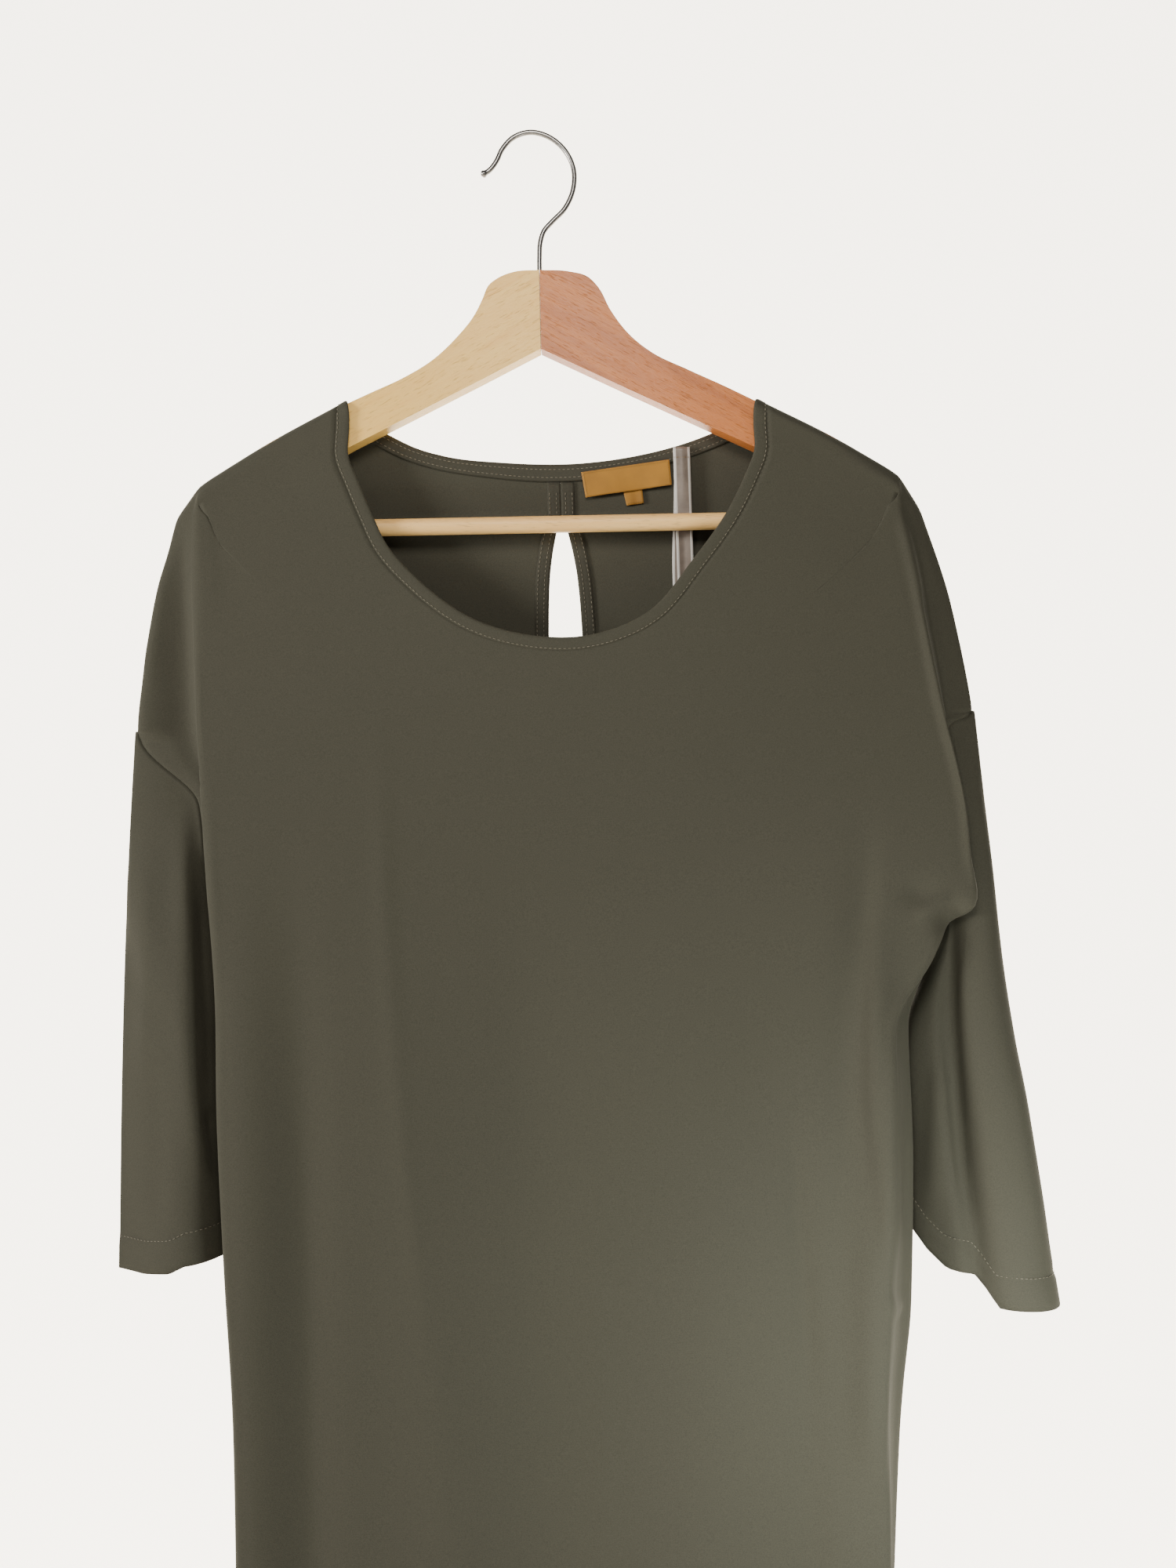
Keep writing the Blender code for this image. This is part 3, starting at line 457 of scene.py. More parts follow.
def read_line(points, lengths, at):
    """Points of a line at distances along it."""
    return np.stack([np.interp(at, lengths, points[:, axis]) for axis in range(3)], axis=-1)


def unit(vectors):
    """Vectors made one long."""
    return vectors / np.linalg.norm(vectors, axis=-1, keepdims=True)


def square_to(vectors, ways):
    """Vectors without their share along other, unit, vectors."""
    return vectors - ways * np.sum(vectors * ways, axis=-1, keepdims=True)


def facing_front(points):
    """A line of points with normals that face the front."""
    return points, np.tile((0.0, -1.0, 0.0), (len(points), 1))


def read_table(table, names, key, name, at):
    """Read one named column of a table at values of its key column."""
    return smooth_read(column(table, names, key), column(table, names, name), at)


def round_curve(points, places):
    """A round curve through points, read at places from 0 to 1 of its length."""
    points = np.asarray(points, dtype=float)
    places = np.asarray(places, dtype=float)
    keys = lengths_along(points)
    keys /= keys[-1]
    tangents = np.gradient(points, keys, axis=0)
    i = np.clip(np.searchsorted(keys, places) - 1, 0, len(keys) - 2)
    step = (keys[i + 1] - keys[i])[:, None]
    t = (places - keys[i])[:, None] / step
    return ((1 + 2 * t) * (1 - t) ** 2 * points[i] + t * (1 - t) ** 2 * step * tangents[i]
            + t * t * (3 - 2 * t) * points[i + 1] + t * t * (t - 1) * step * tangents[i + 1])


def smooth_step(t):
    """Rise from 0 to 1 with soft ends."""
    t = np.clip(t, 0.0, 1.0)
    return t * t * (3 - 2 * t)


def middle_depth(x, z, name):
    """Depth of a panel's flat middle with its long folds."""
    depth = read_table(DEPTH, DEPTH_COLUMNS, "z", name, z)
    sign = -1 if name == "front" else 1
    for row in FRONT_FOLDS if name == "front" else BACK_FOLDS:
        fold = dict(zip(LONG_FOLD_COLUMNS, row))
        along = (z - fold["top_z"]) / (fold["low_z"] - fold["top_z"])
        strength = smooth_step(along / FOLD_GROWS) * (1 - smooth_step((along - FOLD_ENDS) / FOLD_FADES))
        centre = fold["top_x"] + (fold["low_x"] - fold["top_x"]) * along
        depth = depth + sign * fold["out"] * strength * np.exp(-((x - centre) / fold["width"]) ** 2)
    return depth


def station_rows():
    """Where the mesh rows lie between the stations of the tables."""
    rows = [0.0]
    for station, steps in enumerate(STEPS):
        rows += [station + (k + 1) / steps for k in range(steps)]
    return rows


def shoulder_section(shoulder, station, name, inward):
    """Points over the hanger arm, from the seam on top down to where the cloth hangs free."""
    stations = np.arange(len(shoulder))
    crest_x = smooth_read(stations, column(shoulder, SHOULDER_COLUMNS, "x"), station)
    crest_z = smooth_read(stations, column(shoulder, SHOULDER_COLUMNS, "z"), station)
    sign = -1 if name == "front" else 1
    near_neck = 1 - station / ARM_END
    lean = NECK_LEAN[name] * near_neck
    drop = FLANK_DROP["front"] + (FLANK_DROP[name] - FLANK_DROP["front"]) * near_neck
    k = FLANK * np.linspace(0, 1, FLANK_LINES + 1)
    turn = 0.5 * math.pi * np.minimum(k / ROLL, 1.0)
    x = crest_x + inward * lean * k
    y = sign * SHOULDER_ROLL * np.sin(turn) ** ROLL_SQUARE
    z = crest_z + ARM_SLOPE * lean * k
    z -= SHOULDER_DROP * (1 - np.cos(turn)) + drop * np.maximum(k - ROLL, 0)
    return np.stack((x, y, z), axis=1)


def side_section(table, back_table, station, name, inward):
    """Points from the panel's edge through the trough and round the side fold."""
    sign = -1 if name == "front" else 1
    keys = np.arange(ARM_END + 1, ARM_END + 1 + len(table))
    at = {key: smooth_read(keys, column(table, SIDE_COLUMNS, key), station) for key in SIDE_COLUMNS}
    if name == "back":
        for key in BACK_COLUMNS:
            at[key] = smooth_read(keys, column(back_table, BACK_COLUMNS, key), station)
    z = at["z"]
    face_x = at["fold"] + inward * FACE_START * FOLD_RADIUS
    face_y = middle_depth(face_x, z, name)
    turn_x = at["fold"] + inward * FOLD_TURN[0] * FOLD_RADIUS
    turn_y = at["fold_y"] + FOLD_TURN[1] * (face_y - at["fold_y"])
    slope_x = at["edge"] + inward * EDGE_TURN[0]
    slope_y = at["edge_y"] + sign * EDGE_TURN[1]
    if TIP < station < UNDERARM:
        round_part = (2 * station - TIP - UNDERARM) / (UNDERARM - TIP)
        at["edge_y"] += sign * ARMHOLE_OPEN[name] * math.sqrt(1 - round_part ** 2)
        slope_x = 0.5 * (at["dip"] + at["edge"])
        slope_y = 0.5 * (at["dip_y"] + at["edge_y"])
    wall_x = 0.5 * (at["dip"] + at["fold"]) + 0.5 * inward
    wall_y = 0.5 * (at["dip_y"] + at["fold_y"])
    points = [(at["edge"], at["edge_y"], z), (slope_x, slope_y, z),
              (at["dip"], at["dip_y"], z), (wall_x, wall_y, z),
              (at["fold"], at["fold_y"], z), (turn_x, turn_y, z), (face_x, face_y, z)]
    return round_curve(points, np.linspace(0, 1, FLANK_LINES + 1))


def flank_section(side, station, name):
    """A panel's side strip at a station, on the shoulder, below it or in between."""
    shoulder, table, back_table, inward = side
    if station <= ARM_END:
        return shoulder_section(shoulder, station, name, inward)
    if station >= ARM_END + 1:
        return side_section(table, back_table, station, name, inward)
    blend = station - ARM_END
    top = shoulder_section(shoulder, ARM_END, name, inward)
    low = side_section(table, back_table, ARM_END + 1, name, inward)
    return top * (1 - blend) + low * blend


def keyhole_half(z):
    """Half the keyhole's width at a height."""
    return read_table(KEYHOLE, KEYHOLE_COLUMNS, "z", "half", z)


def keyhole_centre(z):
    """Where the keyhole's middle line is at a height."""
    return KEYHOLE_X + KEYHOLE_LEAN * (KEYHOLE[-1][0] - z)


def round_the_keyhole(row):
    """Moves the columns of a back row so that the middle three follow the keyhole."""
    half_count = MIDDLE // 2
    z = row[half_count][1]
    centre = keyhole_centre(max(z, KEYHOLE[0][0]))
    below = smooth_step((KEYHOLE[0][0] - z) / KEYHOLE_SPREAD_LENGTH)
    even = (row[-1][0] - row[0][0]) / MIDDLE
    half = keyhole_half(z) + (even - keyhole_half(z)) * below
    left = np.linspace(row[0][0], centre - half, half_count)
    right = np.linspace(centre + half, row[-1][0], half_count)
    places = np.concatenate((left, [centre], right))
    return np.stack((places, np.interp(places, row[:, 0], row[:, 1])), axis=1)


def panel_grid(name):
    """All points of a panel, as rows from the neck to the hem."""
    neck = FRONT_NECK if name == "front" else BACK_NECK
    part = np.linspace(0, 1, MIDDLE + 1)[:, None]
    grid = []
    neck_line = None
    for station in station_rows():
        left = flank_section(LEFT_SIDE, station, name)
        right = flank_section(RIGHT_SIDE, station, name)
        start = left[-1][[0, 2]]
        end = right[-1][[0, 2]]
        height = 0.5 * (start[1] + end[1])
        if neck_line is None:
            top = height
            neck_line = round_curve([start, *neck, end], part[:, 0])
            hang = neck_line - neck_line[0] - (neck_line[-1] - neck_line[0]) * part
        fall = min((top - height) / NECK_FADE, 1.0)
        row = start + (end - start) * part + (1 - fall * (1 + NECK_SAG * (1 - fall))) * hang
        if name == "back":
            row = round_the_keyhole(row)
        x, z = row[1:-1].T
        y = middle_depth(x, z, name)
        for edge in (left[-1], right[-1]):
            step = edge[1] - middle_depth(edge[0], edge[2], name)
            y = y + step * np.exp(-((x - edge[0]) / SIDE_BLEND) ** 2)
        grid.append(np.vstack((left, np.stack((x, y, z), axis=1), right[::-1])))
    return calm_middle(soften_rows(np.array(grid)))


def soften_rows(grid):
    """Rounds the corners that rows make where the cloth leaves the hanger's arms."""
    first = sum(STEPS[:ARM_END]) - SOFT_ROWS
    last = sum(STEPS[:ARM_END + 2])
    weight = fade_rows(last - first)
    for axis in (0, 2, 1):
        even_rows(grid, axis, first, last, weight, SOFT_ROUNDS[axis])
    return grid


def row_gaps(grid, first, last):
    """How the gap between a row's neighbours is shared above and below it, at each point."""
    flat = grid[:, :, [0, 2]]
    gaps = np.linalg.norm(np.diff(flat[first - 1:last + 1], axis=0), axis=2)
    whole = gaps[:-1] + gaps[1:]
    return gaps[:-1] / whole, gaps[1:] / whole


def fade_rows(count):
    """Weights of a band of rows that fade at both of its ends, one to a row."""
    ramp_up = smooth_step(np.arange(count) / SOFT_ROWS)
    return (ramp_up * ramp_up[::-1])[:, None]


def even_rows(grid, axis, first, last, weight, rounds):
    """Moves rows towards the line between their neighbours, along one axis, by their weight."""
    above, below = row_gaps(grid, first, last)
    for _ in range(rounds):
        part = grid[first:last, :, axis]
        even = grid[first - 1:last - 1, :, axis] * below + grid[first + 1:last + 1, :, axis] * above
        grid[first:last, :, axis] = part + weight * 0.5 * (even - part)


def calm_middle(grid):
    """Evens the depth of the cloth that hangs between the hanger's arms."""
    first = sum(STEPS[:ARM_END]) - CALM_ROWS
    last = sum(STEPS[:ARM_END + 2])
    lines = smooth_step((np.arange(grid.shape[1]) - CALM_FROM) / CALM_FADE)
    even_rows(grid, 1, first, last, fade_rows(last - first) * lines * lines[::-1], CALM_ROUNDS)
    return grid


def grid_normals(grid, outward, closed=False):
    """Unit normals of a grid. outward is a way that they point to, on the whole."""
    down = np.gradient(grid, axis=0)
    if closed:
        across = np.roll(grid, -1, axis=1) - np.roll(grid, 1, axis=1)
    else:
        across = np.gradient(grid, axis=1)
    normals = np.cross(down, across)
    normals /= np.maximum(np.linalg.norm(normals, axis=2), 1e-9)[:, :, None]
    if np.sum(normals * outward) < 0:
        normals = -normals
    return normals


def press_creases(grid, normals, creases, mask=1.0):
    """Moves points along their normals to make soft ridges and troughs along paths."""
    flat = grid[:, :, [0, 2]]
    move = np.zeros(grid.shape[:2])
    for row in creases:
        crease = dict(zip(CREASE_COLUMNS, row))
        path = round_curve(crease["path"], np.linspace(0, 1, PATH_POINTS))
        gaps = flat[:, :, None, :] - path
        nearest = np.argmin(np.sum(gaps ** 2, axis=3), axis=2)
        gap = np.take_along_axis(gaps, nearest[:, :, None, None], axis=2)[:, :, 0]
        way = np.gradient(path, axis=0)[nearest]
        side = way[:, :, 0] * gap[:, :, 1] - way[:, :, 1] * gap[:, :, 0]
        width = np.where(side < 0, crease["left"], crease["right"])
        along = nearest / (len(path) - 1)
        ends = smooth_step(along / CREASE_FADES) * smooth_step((1 - along) / CREASE_FADES)
        distance = np.linalg.norm(gap, axis=2)
        move += crease["out"] * ends * np.exp(-(distance / width) ** 2)
    return grid + normals * (move * mask)[:, :, None]


def push(grid, pushes):
    """Moves the points near a middle by a soft amount."""
    for middle, radius, move in pushes:
        near = np.exp(-np.sum(((grid - middle) / radius) ** 2, axis=2))
        grid = grid + near[:, :, None] * np.array(move, dtype=float)
    return grid


def tuck_edges(grid, normals, amount):
    """Turns the side edges of a panel a little into their seams."""
    grid = grid.copy()
    for j in (0, -1):
        grid[:, j] -= normals[:, j] * amount
    return grid


dress = bpy.data.collections.new("jersey_dress_looks")
bpy.context.scene.collection.children.link(dress)


def add_mesh(name, points, faces, material, uvs=None):
    """A smooth mesh, from points in millimetres, in the dress's collection."""
    mesh = bpy.data.meshes.new(name)
    mesh.from_pydata((points * MM).tolist(), [], faces)
    if uvs is not None:
        layer = mesh.uv_layers.new(name="cloth")
        layer.data.foreach_set("uv", uvs.astype(np.float32).ravel())
    mesh.materials.append(material)
    mesh.shade_smooth()
    item = bpy.data.objects.new(name, mesh)
    dress.objects.link(item)
    return item


def close_ends(mesh):
    """Closes the open ends of a tube and turns its faces outwards."""
    work = bmesh.new()
    work.from_mesh(mesh)
    bmesh.ops.holes_fill(work, edges=[edge for edge in work.edges if edge.is_boundary])
    bmesh.ops.recalc_face_normals(work, faces=work.faces)
    work.to_mesh(mesh)
    work.free()


def grid_faces(rows, columns, closed=False):
    """The row and column of each cell of a grid, and its corners as point numbers."""
    count = columns if closed else columns - 1
    i, j = np.meshgrid(np.arange(rows - 1), np.arange(count), indexing="ij")
    i = i.ravel()
    j = j.ravel()
    k = (j + 1) % columns
    corners = (i * columns + j, (i + 1) * columns + j, (i + 1) * columns + k, i * columns + k)
    return i, j, np.stack(corners, axis=1)


def corner_uvs(uv, i, j):
    """The cloth's own coordinates at the corners of cells."""
    return np.stack((uv[i, j], uv[i + 1, j], uv[i + 1, j + 1], uv[i, j + 1]), axis=1)


def finish_piece(item, nodes=()):
    """Rides a piece on the body and hides the CAD nodes that it stands for."""
    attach(item, "root")
    if nodes:
        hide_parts(*nodes)


def measure(grid, closed=False):
    """Lengths across and down a grid, for the cloth's own coordinates, in metres."""
    looped = np.concatenate((grid, grid[:, :1]), axis=1) if closed else grid
    across = np.linalg.norm(np.diff(looped, axis=1), axis=2)
    across = np.concatenate((np.zeros((len(grid), 1)), np.cumsum(across, axis=1)), axis=1)
    across -= 0.5 * across[:, -1:]
    down = np.linalg.norm(np.diff(looped, axis=0), axis=2)
    down = np.concatenate((np.zeros((1, down.shape[1])), np.cumsum(down, axis=0)))
    down -= down[-1:]
    return np.stack((across, -down), axis=2) * MM


def add_cloth(name, grid, wall, material, closed=False, hole=None):
    """A grid of points as a thin shell of even thickness."""
    i, j, faces = grid_faces(*grid.shape[:2], closed)
    if hole is not None:
        keep = ~hole[i, j]
        i = i[keep]
        j = j[keep]
        faces = faces[keep]
    item = add_mesh(name, grid.reshape(-1, 3), faces.tolist(), material,
                    corner_uvs(measure(grid, closed), i, j))
    if hole is not None:
        remove_loose(item.data)
    solid = item.modifiers.new("Wall", "SOLIDIFY")
    solid.thickness = wall * MM
    solid.offset = 0.0
    return item


def remove_loose(mesh):
    """Drops the points that no face uses."""
    work = bmesh.new()
    work.from_mesh(mesh)
    loose = [vertex for vertex in work.verts if not vertex.link_faces]
    bmesh.ops.delete(work, geom=loose, context="VERTS")
    work.to_mesh(mesh)
    work.free()


def on_grid(grid, rows, columns):
    """Points of a grid at fractional rows and columns."""
    rows = np.clip(rows, 0, grid.shape[0] - 1.0001)
    columns = np.clip(columns, 0, grid.shape[1] - 1.0001)
    i = rows.astype(int)
    j = columns.astype(int)
    a = (rows - i)[:, None]
    b = (columns - j)[:, None]
    top = grid[i, j] * (1 - b) + grid[i, j + 1] * b
    low = grid[i + 1, j] * (1 - b) + grid[i + 1, j + 1] * b
    return top * (1 - a) + low * a


def row_at(grid, distance, from_end=False):
    """For each column, the fractional row that lies at a distance from the grid's edge."""
    found = []
    for j in range(grid.shape[1]):
        lengths = lengths_along(grid[::-1, j] if from_end else grid[:, j])
        row = np.interp(distance, lengths, np.arange(len(lengths)))
        found.append(len(lengths) - 1 - row if from_end else row)
    return np.array(found)


def add_stitches(name, lines, material, pitch, length, radius):
    """Rows of short thread stitches along lines. A line is its points and their normals."""
    turns = 2 * math.pi * np.arange(STITCH_SIDES) / STITCH_SIDES
    template = np.array([(along, wide * math.cos(turn), wide * math.sin(turn))
                         for along, wide in STITCH_PROFILE for turn in turns])
    bow = STITCH_BOW * radius * (1 - template[:, 0] ** 2)
    stitches = []
    for points, normals in lines:
        lengths = lengths_along(points)
        middles = (np.arange(int(lengths[-1] / pitch)) + 0.5) * pitch
        start = read_line(points, lengths, middles - 0.5 * length)
        end = read_line(points, lengths, middles + 0.5 * length)
        half = 0.5 * np.linalg.norm(end - start, axis=1)
        along = unit(end - start)
        up = unit(square_to(read_line(normals, lengths, middles), along))
        side = np.cross(along, up)
        for k in range(len(middles)):
            stitches.append(0.5 * (start[k] + end[k]) + np.outer(template[:, 0], along[k]) * half[k]
                            + np.outer(template[:, 1] * radius, side[k])
                            + np.outer(template[:, 2] * radius + bow, up[k]))
    _, _, faces = grid_faces(len(STITCH_PROFILE), STITCH_SIDES, closed=True)
    cap = list(range(STITCH_SIDES))
    caps = [cap[::-1], [len(template) - STITCH_SIDES + k for k in cap]]
    offsets = np.arange(len(stitches)) * len(template)
    every = (faces[None, :, [0, 3, 2, 1]] + offsets[:, None, None]).reshape(-1, 4).tolist()
    every += [[offset + k for k in ring] for offset in offsets.tolist() for ring in caps]
    return add_mesh(name, np.concatenate(stitches), every, material)


def new_node(tree, kind, inputs=None, **settings):
    """A shader node with its settings and inputs. An input may be a value or a socket."""
    item = tree.nodes.new(kind)
    for key, value in settings.items():
        setattr(item, key, value)
    for key, value in (inputs or {}).items():
        if isinstance(value, bpy.types.NodeSocket):
            tree.links.new(value, item.inputs[key])
        else:
            item.inputs[key].default_value = value
    return item


def new_material(name):
    """A material and its shader, ready for nodes."""
    material = bpy.data.materials.new(name)
    material.use_nodes = True
    tree = material.node_tree
    return material, tree, tree.nodes["Principled BSDF"]


def calculate(tree, operation, first, second=0.0):
    """The result of a sum on one or two values or sockets."""
    return new_node(tree, "ShaderNodeMath", {0: first, 1: second}, operation=operation).outputs[0]


def noise(tree, vector, scale, detail=2.0, roughness=0.5, distortion=0.0):
    """Soft noise at a scale."""
    return new_node(tree, "ShaderNodeTexNoise", {
        "Vector": vector, "Scale": scale, "Detail": detail, "Roughness": roughness,
        "Distortion": distortion}).outputs["Fac"]


def ramp(tree, value, stops):
    """Colours along a value."""
    item = new_node(tree, "ShaderNodeValToRGB", {"Fac": value})
    while len(item.color_ramp.elements) < len(stops):
        item.color_ramp.elements.new(0.5)
    for element, (place, colour) in zip(item.color_ramp.elements, stops):
        element.position = place
        element.color = (*colour, 1.0)
    return item.outputs["Color"]


def mix(tree, factor, first, second):
    """One colour mixed into another."""
    item = new_node(tree, "ShaderNodeMix", {"Factor": factor}, data_type="RGBA")
    for socket, value in ((item.inputs[6], first), (item.inputs[7], second)):
        if isinstance(value, bpy.types.NodeSocket):
            tree.links.new(value, socket)
        else:
            socket.default_value = (*value, 1.0)
    return item.outputs[2]


def scaled(tree, vector, scale, turn=(0, 0, 0)):
    """Coordinates turned and scaled."""
    return new_node(tree, "ShaderNodeMapping", {
        "Vector": vector, "Scale": scale, "Rotation": turn}).outputs["Vector"]


def relief(tree, height, strength, distance, **under):
    """Normals of a small relief, over other normals if any are given."""
    inputs = {"Height": height, "Strength": strength, "Distance": distance, **under}
    return new_node(tree, "ShaderNodeBump", inputs).outputs["Normal"]


def finish_shader(tree, shader, colour, values, **links):
    """Links a colour and other sockets to a shader and sets the values that are even over it."""
    tree.links.new(colour, shader.inputs["Base Color"])
    for key, socket in links.items():
        tree.links.new(socket, shader.inputs[key])
    for key, value in values.items():
        shader.inputs[key].default_value = value


def object_place(tree):
    """The object's own coordinates."""
    return new_node(tree, "ShaderNodeTexCoord").outputs["Object"]


def cloth_place(tree, across=1.0, down=1.0):
    """The cloth's own coordinates, counted in threads of a size, as two values."""
    cloth = new_node(tree, "ShaderNodeUVMap", uv_map="cloth").outputs["UV"]
    threads = scaled(tree, cloth, (1 / across, 1 / down, 1))
    split = new_node(tree, "ShaderNodeSeparateXYZ", {"Vector": threads})
    return split.outputs["X"], split.outputs["Y"]


def wave(tree, value, pitch):
    """A sine wave of a pitch."""
    return calculate(tree, "SINE", calculate(tree, "MULTIPLY", value, 2 * math.pi / pitch))


def jersey(name, tint, shade):
    """Fine knitted jersey: rows of small stitches, a soft melange and a slight sheen."""
    material, tree, shader = new_material(name)
    place = object_place(tree)
    across, down = cloth_place(tree, WALE, COURSE)
    leg = calculate(tree, "PINGPONG", across, 0.5)
    phase = calculate(tree, "ADD", down, calculate(tree, "MULTIPLY", leg, 1.2))
    rows = calculate(tree, "ADD", wave(tree, phase, 1.0), 1.6)
    knit = calculate(tree, "MULTIPLY", rows, wave(tree, leg, 1.0))
    grain = noise(tree, place, 1500.0, 2.0, 0.6)
    base = mix(tree, noise(tree, place, 7.0, 3.0, 0.55), tint, shade)
    light = tuple(value * 1.32 for value in tint)
    dark = tuple(value * 0.62 for value in shade)
    speck = ramp(tree, grain, ((0.25, dark), (0.5, tint), (0.78, light)))
    colour = mix(tree, calculate(tree, "MULTIPLY", knit, 0.06), mix(tree, 0.42, base, speck), light)
    height = calculate(tree, "ADD", calculate(tree, "MULTIPLY", knit, 0.5), grain)
    fine = relief(tree, height, 0.32, 0.00012)
    broad = relief(tree, noise(tree, place, 45.0, 3.0, 0.5), 0.18, 0.0012, Normal=fine)
    finish_shader(tree, shader, colour, {
        "Roughness": 0.8, "Sheen Weight": 0.09, "Sheen Roughness": 0.35,
        "Sheen Tint": (0.80, 0.76, 0.62, 1.0), "Specular IOR Level": 0.16}, Normal=broad)
    return material


def thread(name, colour):
    """Twisted sewing thread."""
    material, tree, shader = new_material(name)
    twist = noise(tree, object_place(tree), 2600.0, 1.0)
    dark = tuple(value * 0.6 for value in colour)
    finish_shader(tree, shader, ramp(tree, twist, ((0.3, dark), (0.7, colour))), {"Roughness": 0.6},
                  Normal=relief(tree, twist, 0.3, 0.0001))
    return material


def woven_label():
    """Ochre label cloth: a fine square weave."""
    material, tree, shader = new_material("ochre_weave")
    across, down = cloth_place(tree)
    weave = calculate(tree, "MULTIPLY", wave(tree, across, 0.0005), wave(tree, down, 0.0004))
    fade = noise(tree, object_place(tree), 60.0, 3.0)
    colour = ramp(tree, fade, ((0.3, (0.29, 0.125, 0.005)), (0.7, (0.39, 0.175, 0.008))))
    colour = mix(tree, calculate(tree, "MULTIPLY", weave, 0.2), colour, (0.50, 0.26, 0.02))
    finish_shader(tree, shader, colour, {"Roughness": 0.62, "Sheen Weight": 0.2},
                  Normal=relief(tree, weave, 0.35, 0.0001))
    return material


def satin_ribbon():
    """Taupe satin with pale woven edges."""
    material, tree, shader = new_material("taupe_satin")
    across, down = cloth_place(tree)
    body_half = (0.5 * LOOP_WIDTH - LOOP_EDGE) * MM
    edge = calculate(tree, "GREATER_THAN", calculate(tree, "ABSOLUTE", across), body_half)
    fade = noise(tree, object_place(tree), 120.0, 3.0)
    body = ramp(tree, fade, ((0.3, (0.135, 0.104, 0.081)), (0.7, (0.210, 0.168, 0.136))))
    finish_shader(tree, shader, mix(tree, edge, body, (0.52, 0.49, 0.45)),
                  {"Roughness": 0.36, "Anisotropic": 0.5, "Sheen Weight": 0.3},
                  Normal=relief(tree, wave(tree, down, 0.0007), 0.2, 0.0001))
    return material


def lacquered_wood(name):
    """Lacquered wood whose grain runs along a board or bar."""
    turn, colours, pale, streaks = WOODS[name]
    material, tree, shader = new_material(name)
    lying = scaled(tree, object_place(tree), (1, 1, 1), (0, math.radians(turn), 0))
    rings = noise(tree, scaled(tree, lying, (5, 40, 90)), 1.0, 4.0, 0.6, 0.6)
    fibres = noise(tree, scaled(tree, lying, (60, 900, 1600)), 1.0, 3.0, 0.65)
    pores = noise(tree, scaled(tree, lying, (130, 1400, 1400)), 1.0, 2.0, 0.5)
    flecks = noise(tree, scaled(tree, lying, (220, 900, 900)), 1.0, 2.0, 0.7)
    colour = ramp(tree, rings, tuple(zip(WOOD_STOPS, colours)))
    colour = mix(tree, calculate(tree, "MULTIPLY", fibres, streaks), colour, colours[0])
    pore = ramp(tree, pores, ((0.60, (0, 0, 0)), (0.72, (1, 1, 1))))
    darker = tuple(value * 0.45 for value in colours[0])
    colour = mix(tree, calculate(tree, "MULTIPLY", pore, 0.5), colour, darker)
    colour = mix(tree, calculate(tree, "MULTIPLY", flecks, 0.16), colour, pale)
    height = calculate(tree, "SUBTRACT", calculate(tree, "ADD", fibres, flecks), pore)
    rough = new_node(tree, "ShaderNodeMapRange", {"Value": flecks, "To Min": 0.26, "To Max": 0.5})
    finish_shader(tree, shader, colour,
                  {"Specular IOR Level": 0.35, "Coat Weight": 0.06, "Coat Roughness": 0.2},
                  Normal=relief(tree, height, 0.45, 0.00035), Roughness=rough.outputs["Result"])
    return material


def drawn_steel():
    """Bright steel wire with faint lines along it."""
    material, tree, shader = new_material("steel_wire")
    lines = noise(tree, object_place(tree), 900.0, 3.0, 0.6)
    colour = ramp(tree, lines, ((0.3, (0.22, 0.21, 0.20)), (0.7, (0.36, 0.345, 0.33))))
    rough = new_node(tree, "ShaderNodeMapRange", {"Value": lines, "To Min": 0.22, "To Max": 0.38})
    finish_shader(tree, shader, colour, {"Metallic": 1.0}, Roughness=rough.outputs["Result"])
    return material


def plain_stage(name, glow):
    """A pale matt surface of the floor or the backdrop, which may glow a little."""
    material, tree, shader = new_material(name)
    spots = noise(tree, object_place(tree), 3.0, 2.0)
    colour = ramp(tree, spots, ((0.0, (0.88, 0.865, 0.83)), (1.0, (0.90, 0.885, 0.85))))
    finish_shader(tree, shader, colour, {
        "Roughness": 0.95, "Specular IOR Level": 0.0,
        "Emission Color": (1.0, 0.925, 0.79, 1.0), "Emission Strength": glow})
    return material


def hem_lines(grid, normals, distances, closed=False):
    """Lines for stitches at distances above a piece's last row, on its outside."""
    looped = np.concatenate((grid, grid[:, :1]), axis=1) if closed else grid
    looped_normals = np.concatenate((normals, normals[:, :1]), axis=1) if closed else normals
    lines = []
    for distance in distances:
        rows = row_at(looped, distance, from_end=True)
        columns = np.arange(looped.shape[1], dtype=float)
        points = on_grid(looped, rows, columns)
        ways = on_grid(looped_normals, rows, columns)
        lines.append((points + ways * 0.5 * WALL, ways))
    return lines


def drop_cuff(grid, table):
    """Moves a sleeve's rows up or down, most at the cuff, until its edge follows a table of x and z."""
    edge = np.array(table, dtype=float)
    aim = np.interp(grid[-1, :, 0], edge[:, 0], edge[:, 1])
    along = np.arange(len(grid)) / (len(grid) - 1)
    share = smooth_step((along - CUFF_DROPS_FROM) / (1 - CUFF_DROPS_FROM))
    grid = grid.copy()
    grid[:, :, 2] += share[:, None] * (aim - grid[-1, :, 2])
    return grid


def turn_up_hem(grid, normals, depth):
    """Thickens a hem's outline softly: the turned cloth stands out below the stitches."""
    lengths = np.linalg.norm(np.diff(grid, axis=0), axis=2)
    left = np.cumsum(lengths[::-1], axis=0)[::-1]
    left = np.concatenate((left, np.zeros((1, left.shape[1]))))
    groove = HEM_GROOVE * np.exp(-((left - depth - HEM_GROOVE_AT) / HEM_GROOVE_WIDTH) ** 2)
    out = HEM_OUT * smooth_step((depth - left) / HEM_SOFT) - groove
    return grid + normals * out[:, :, None]


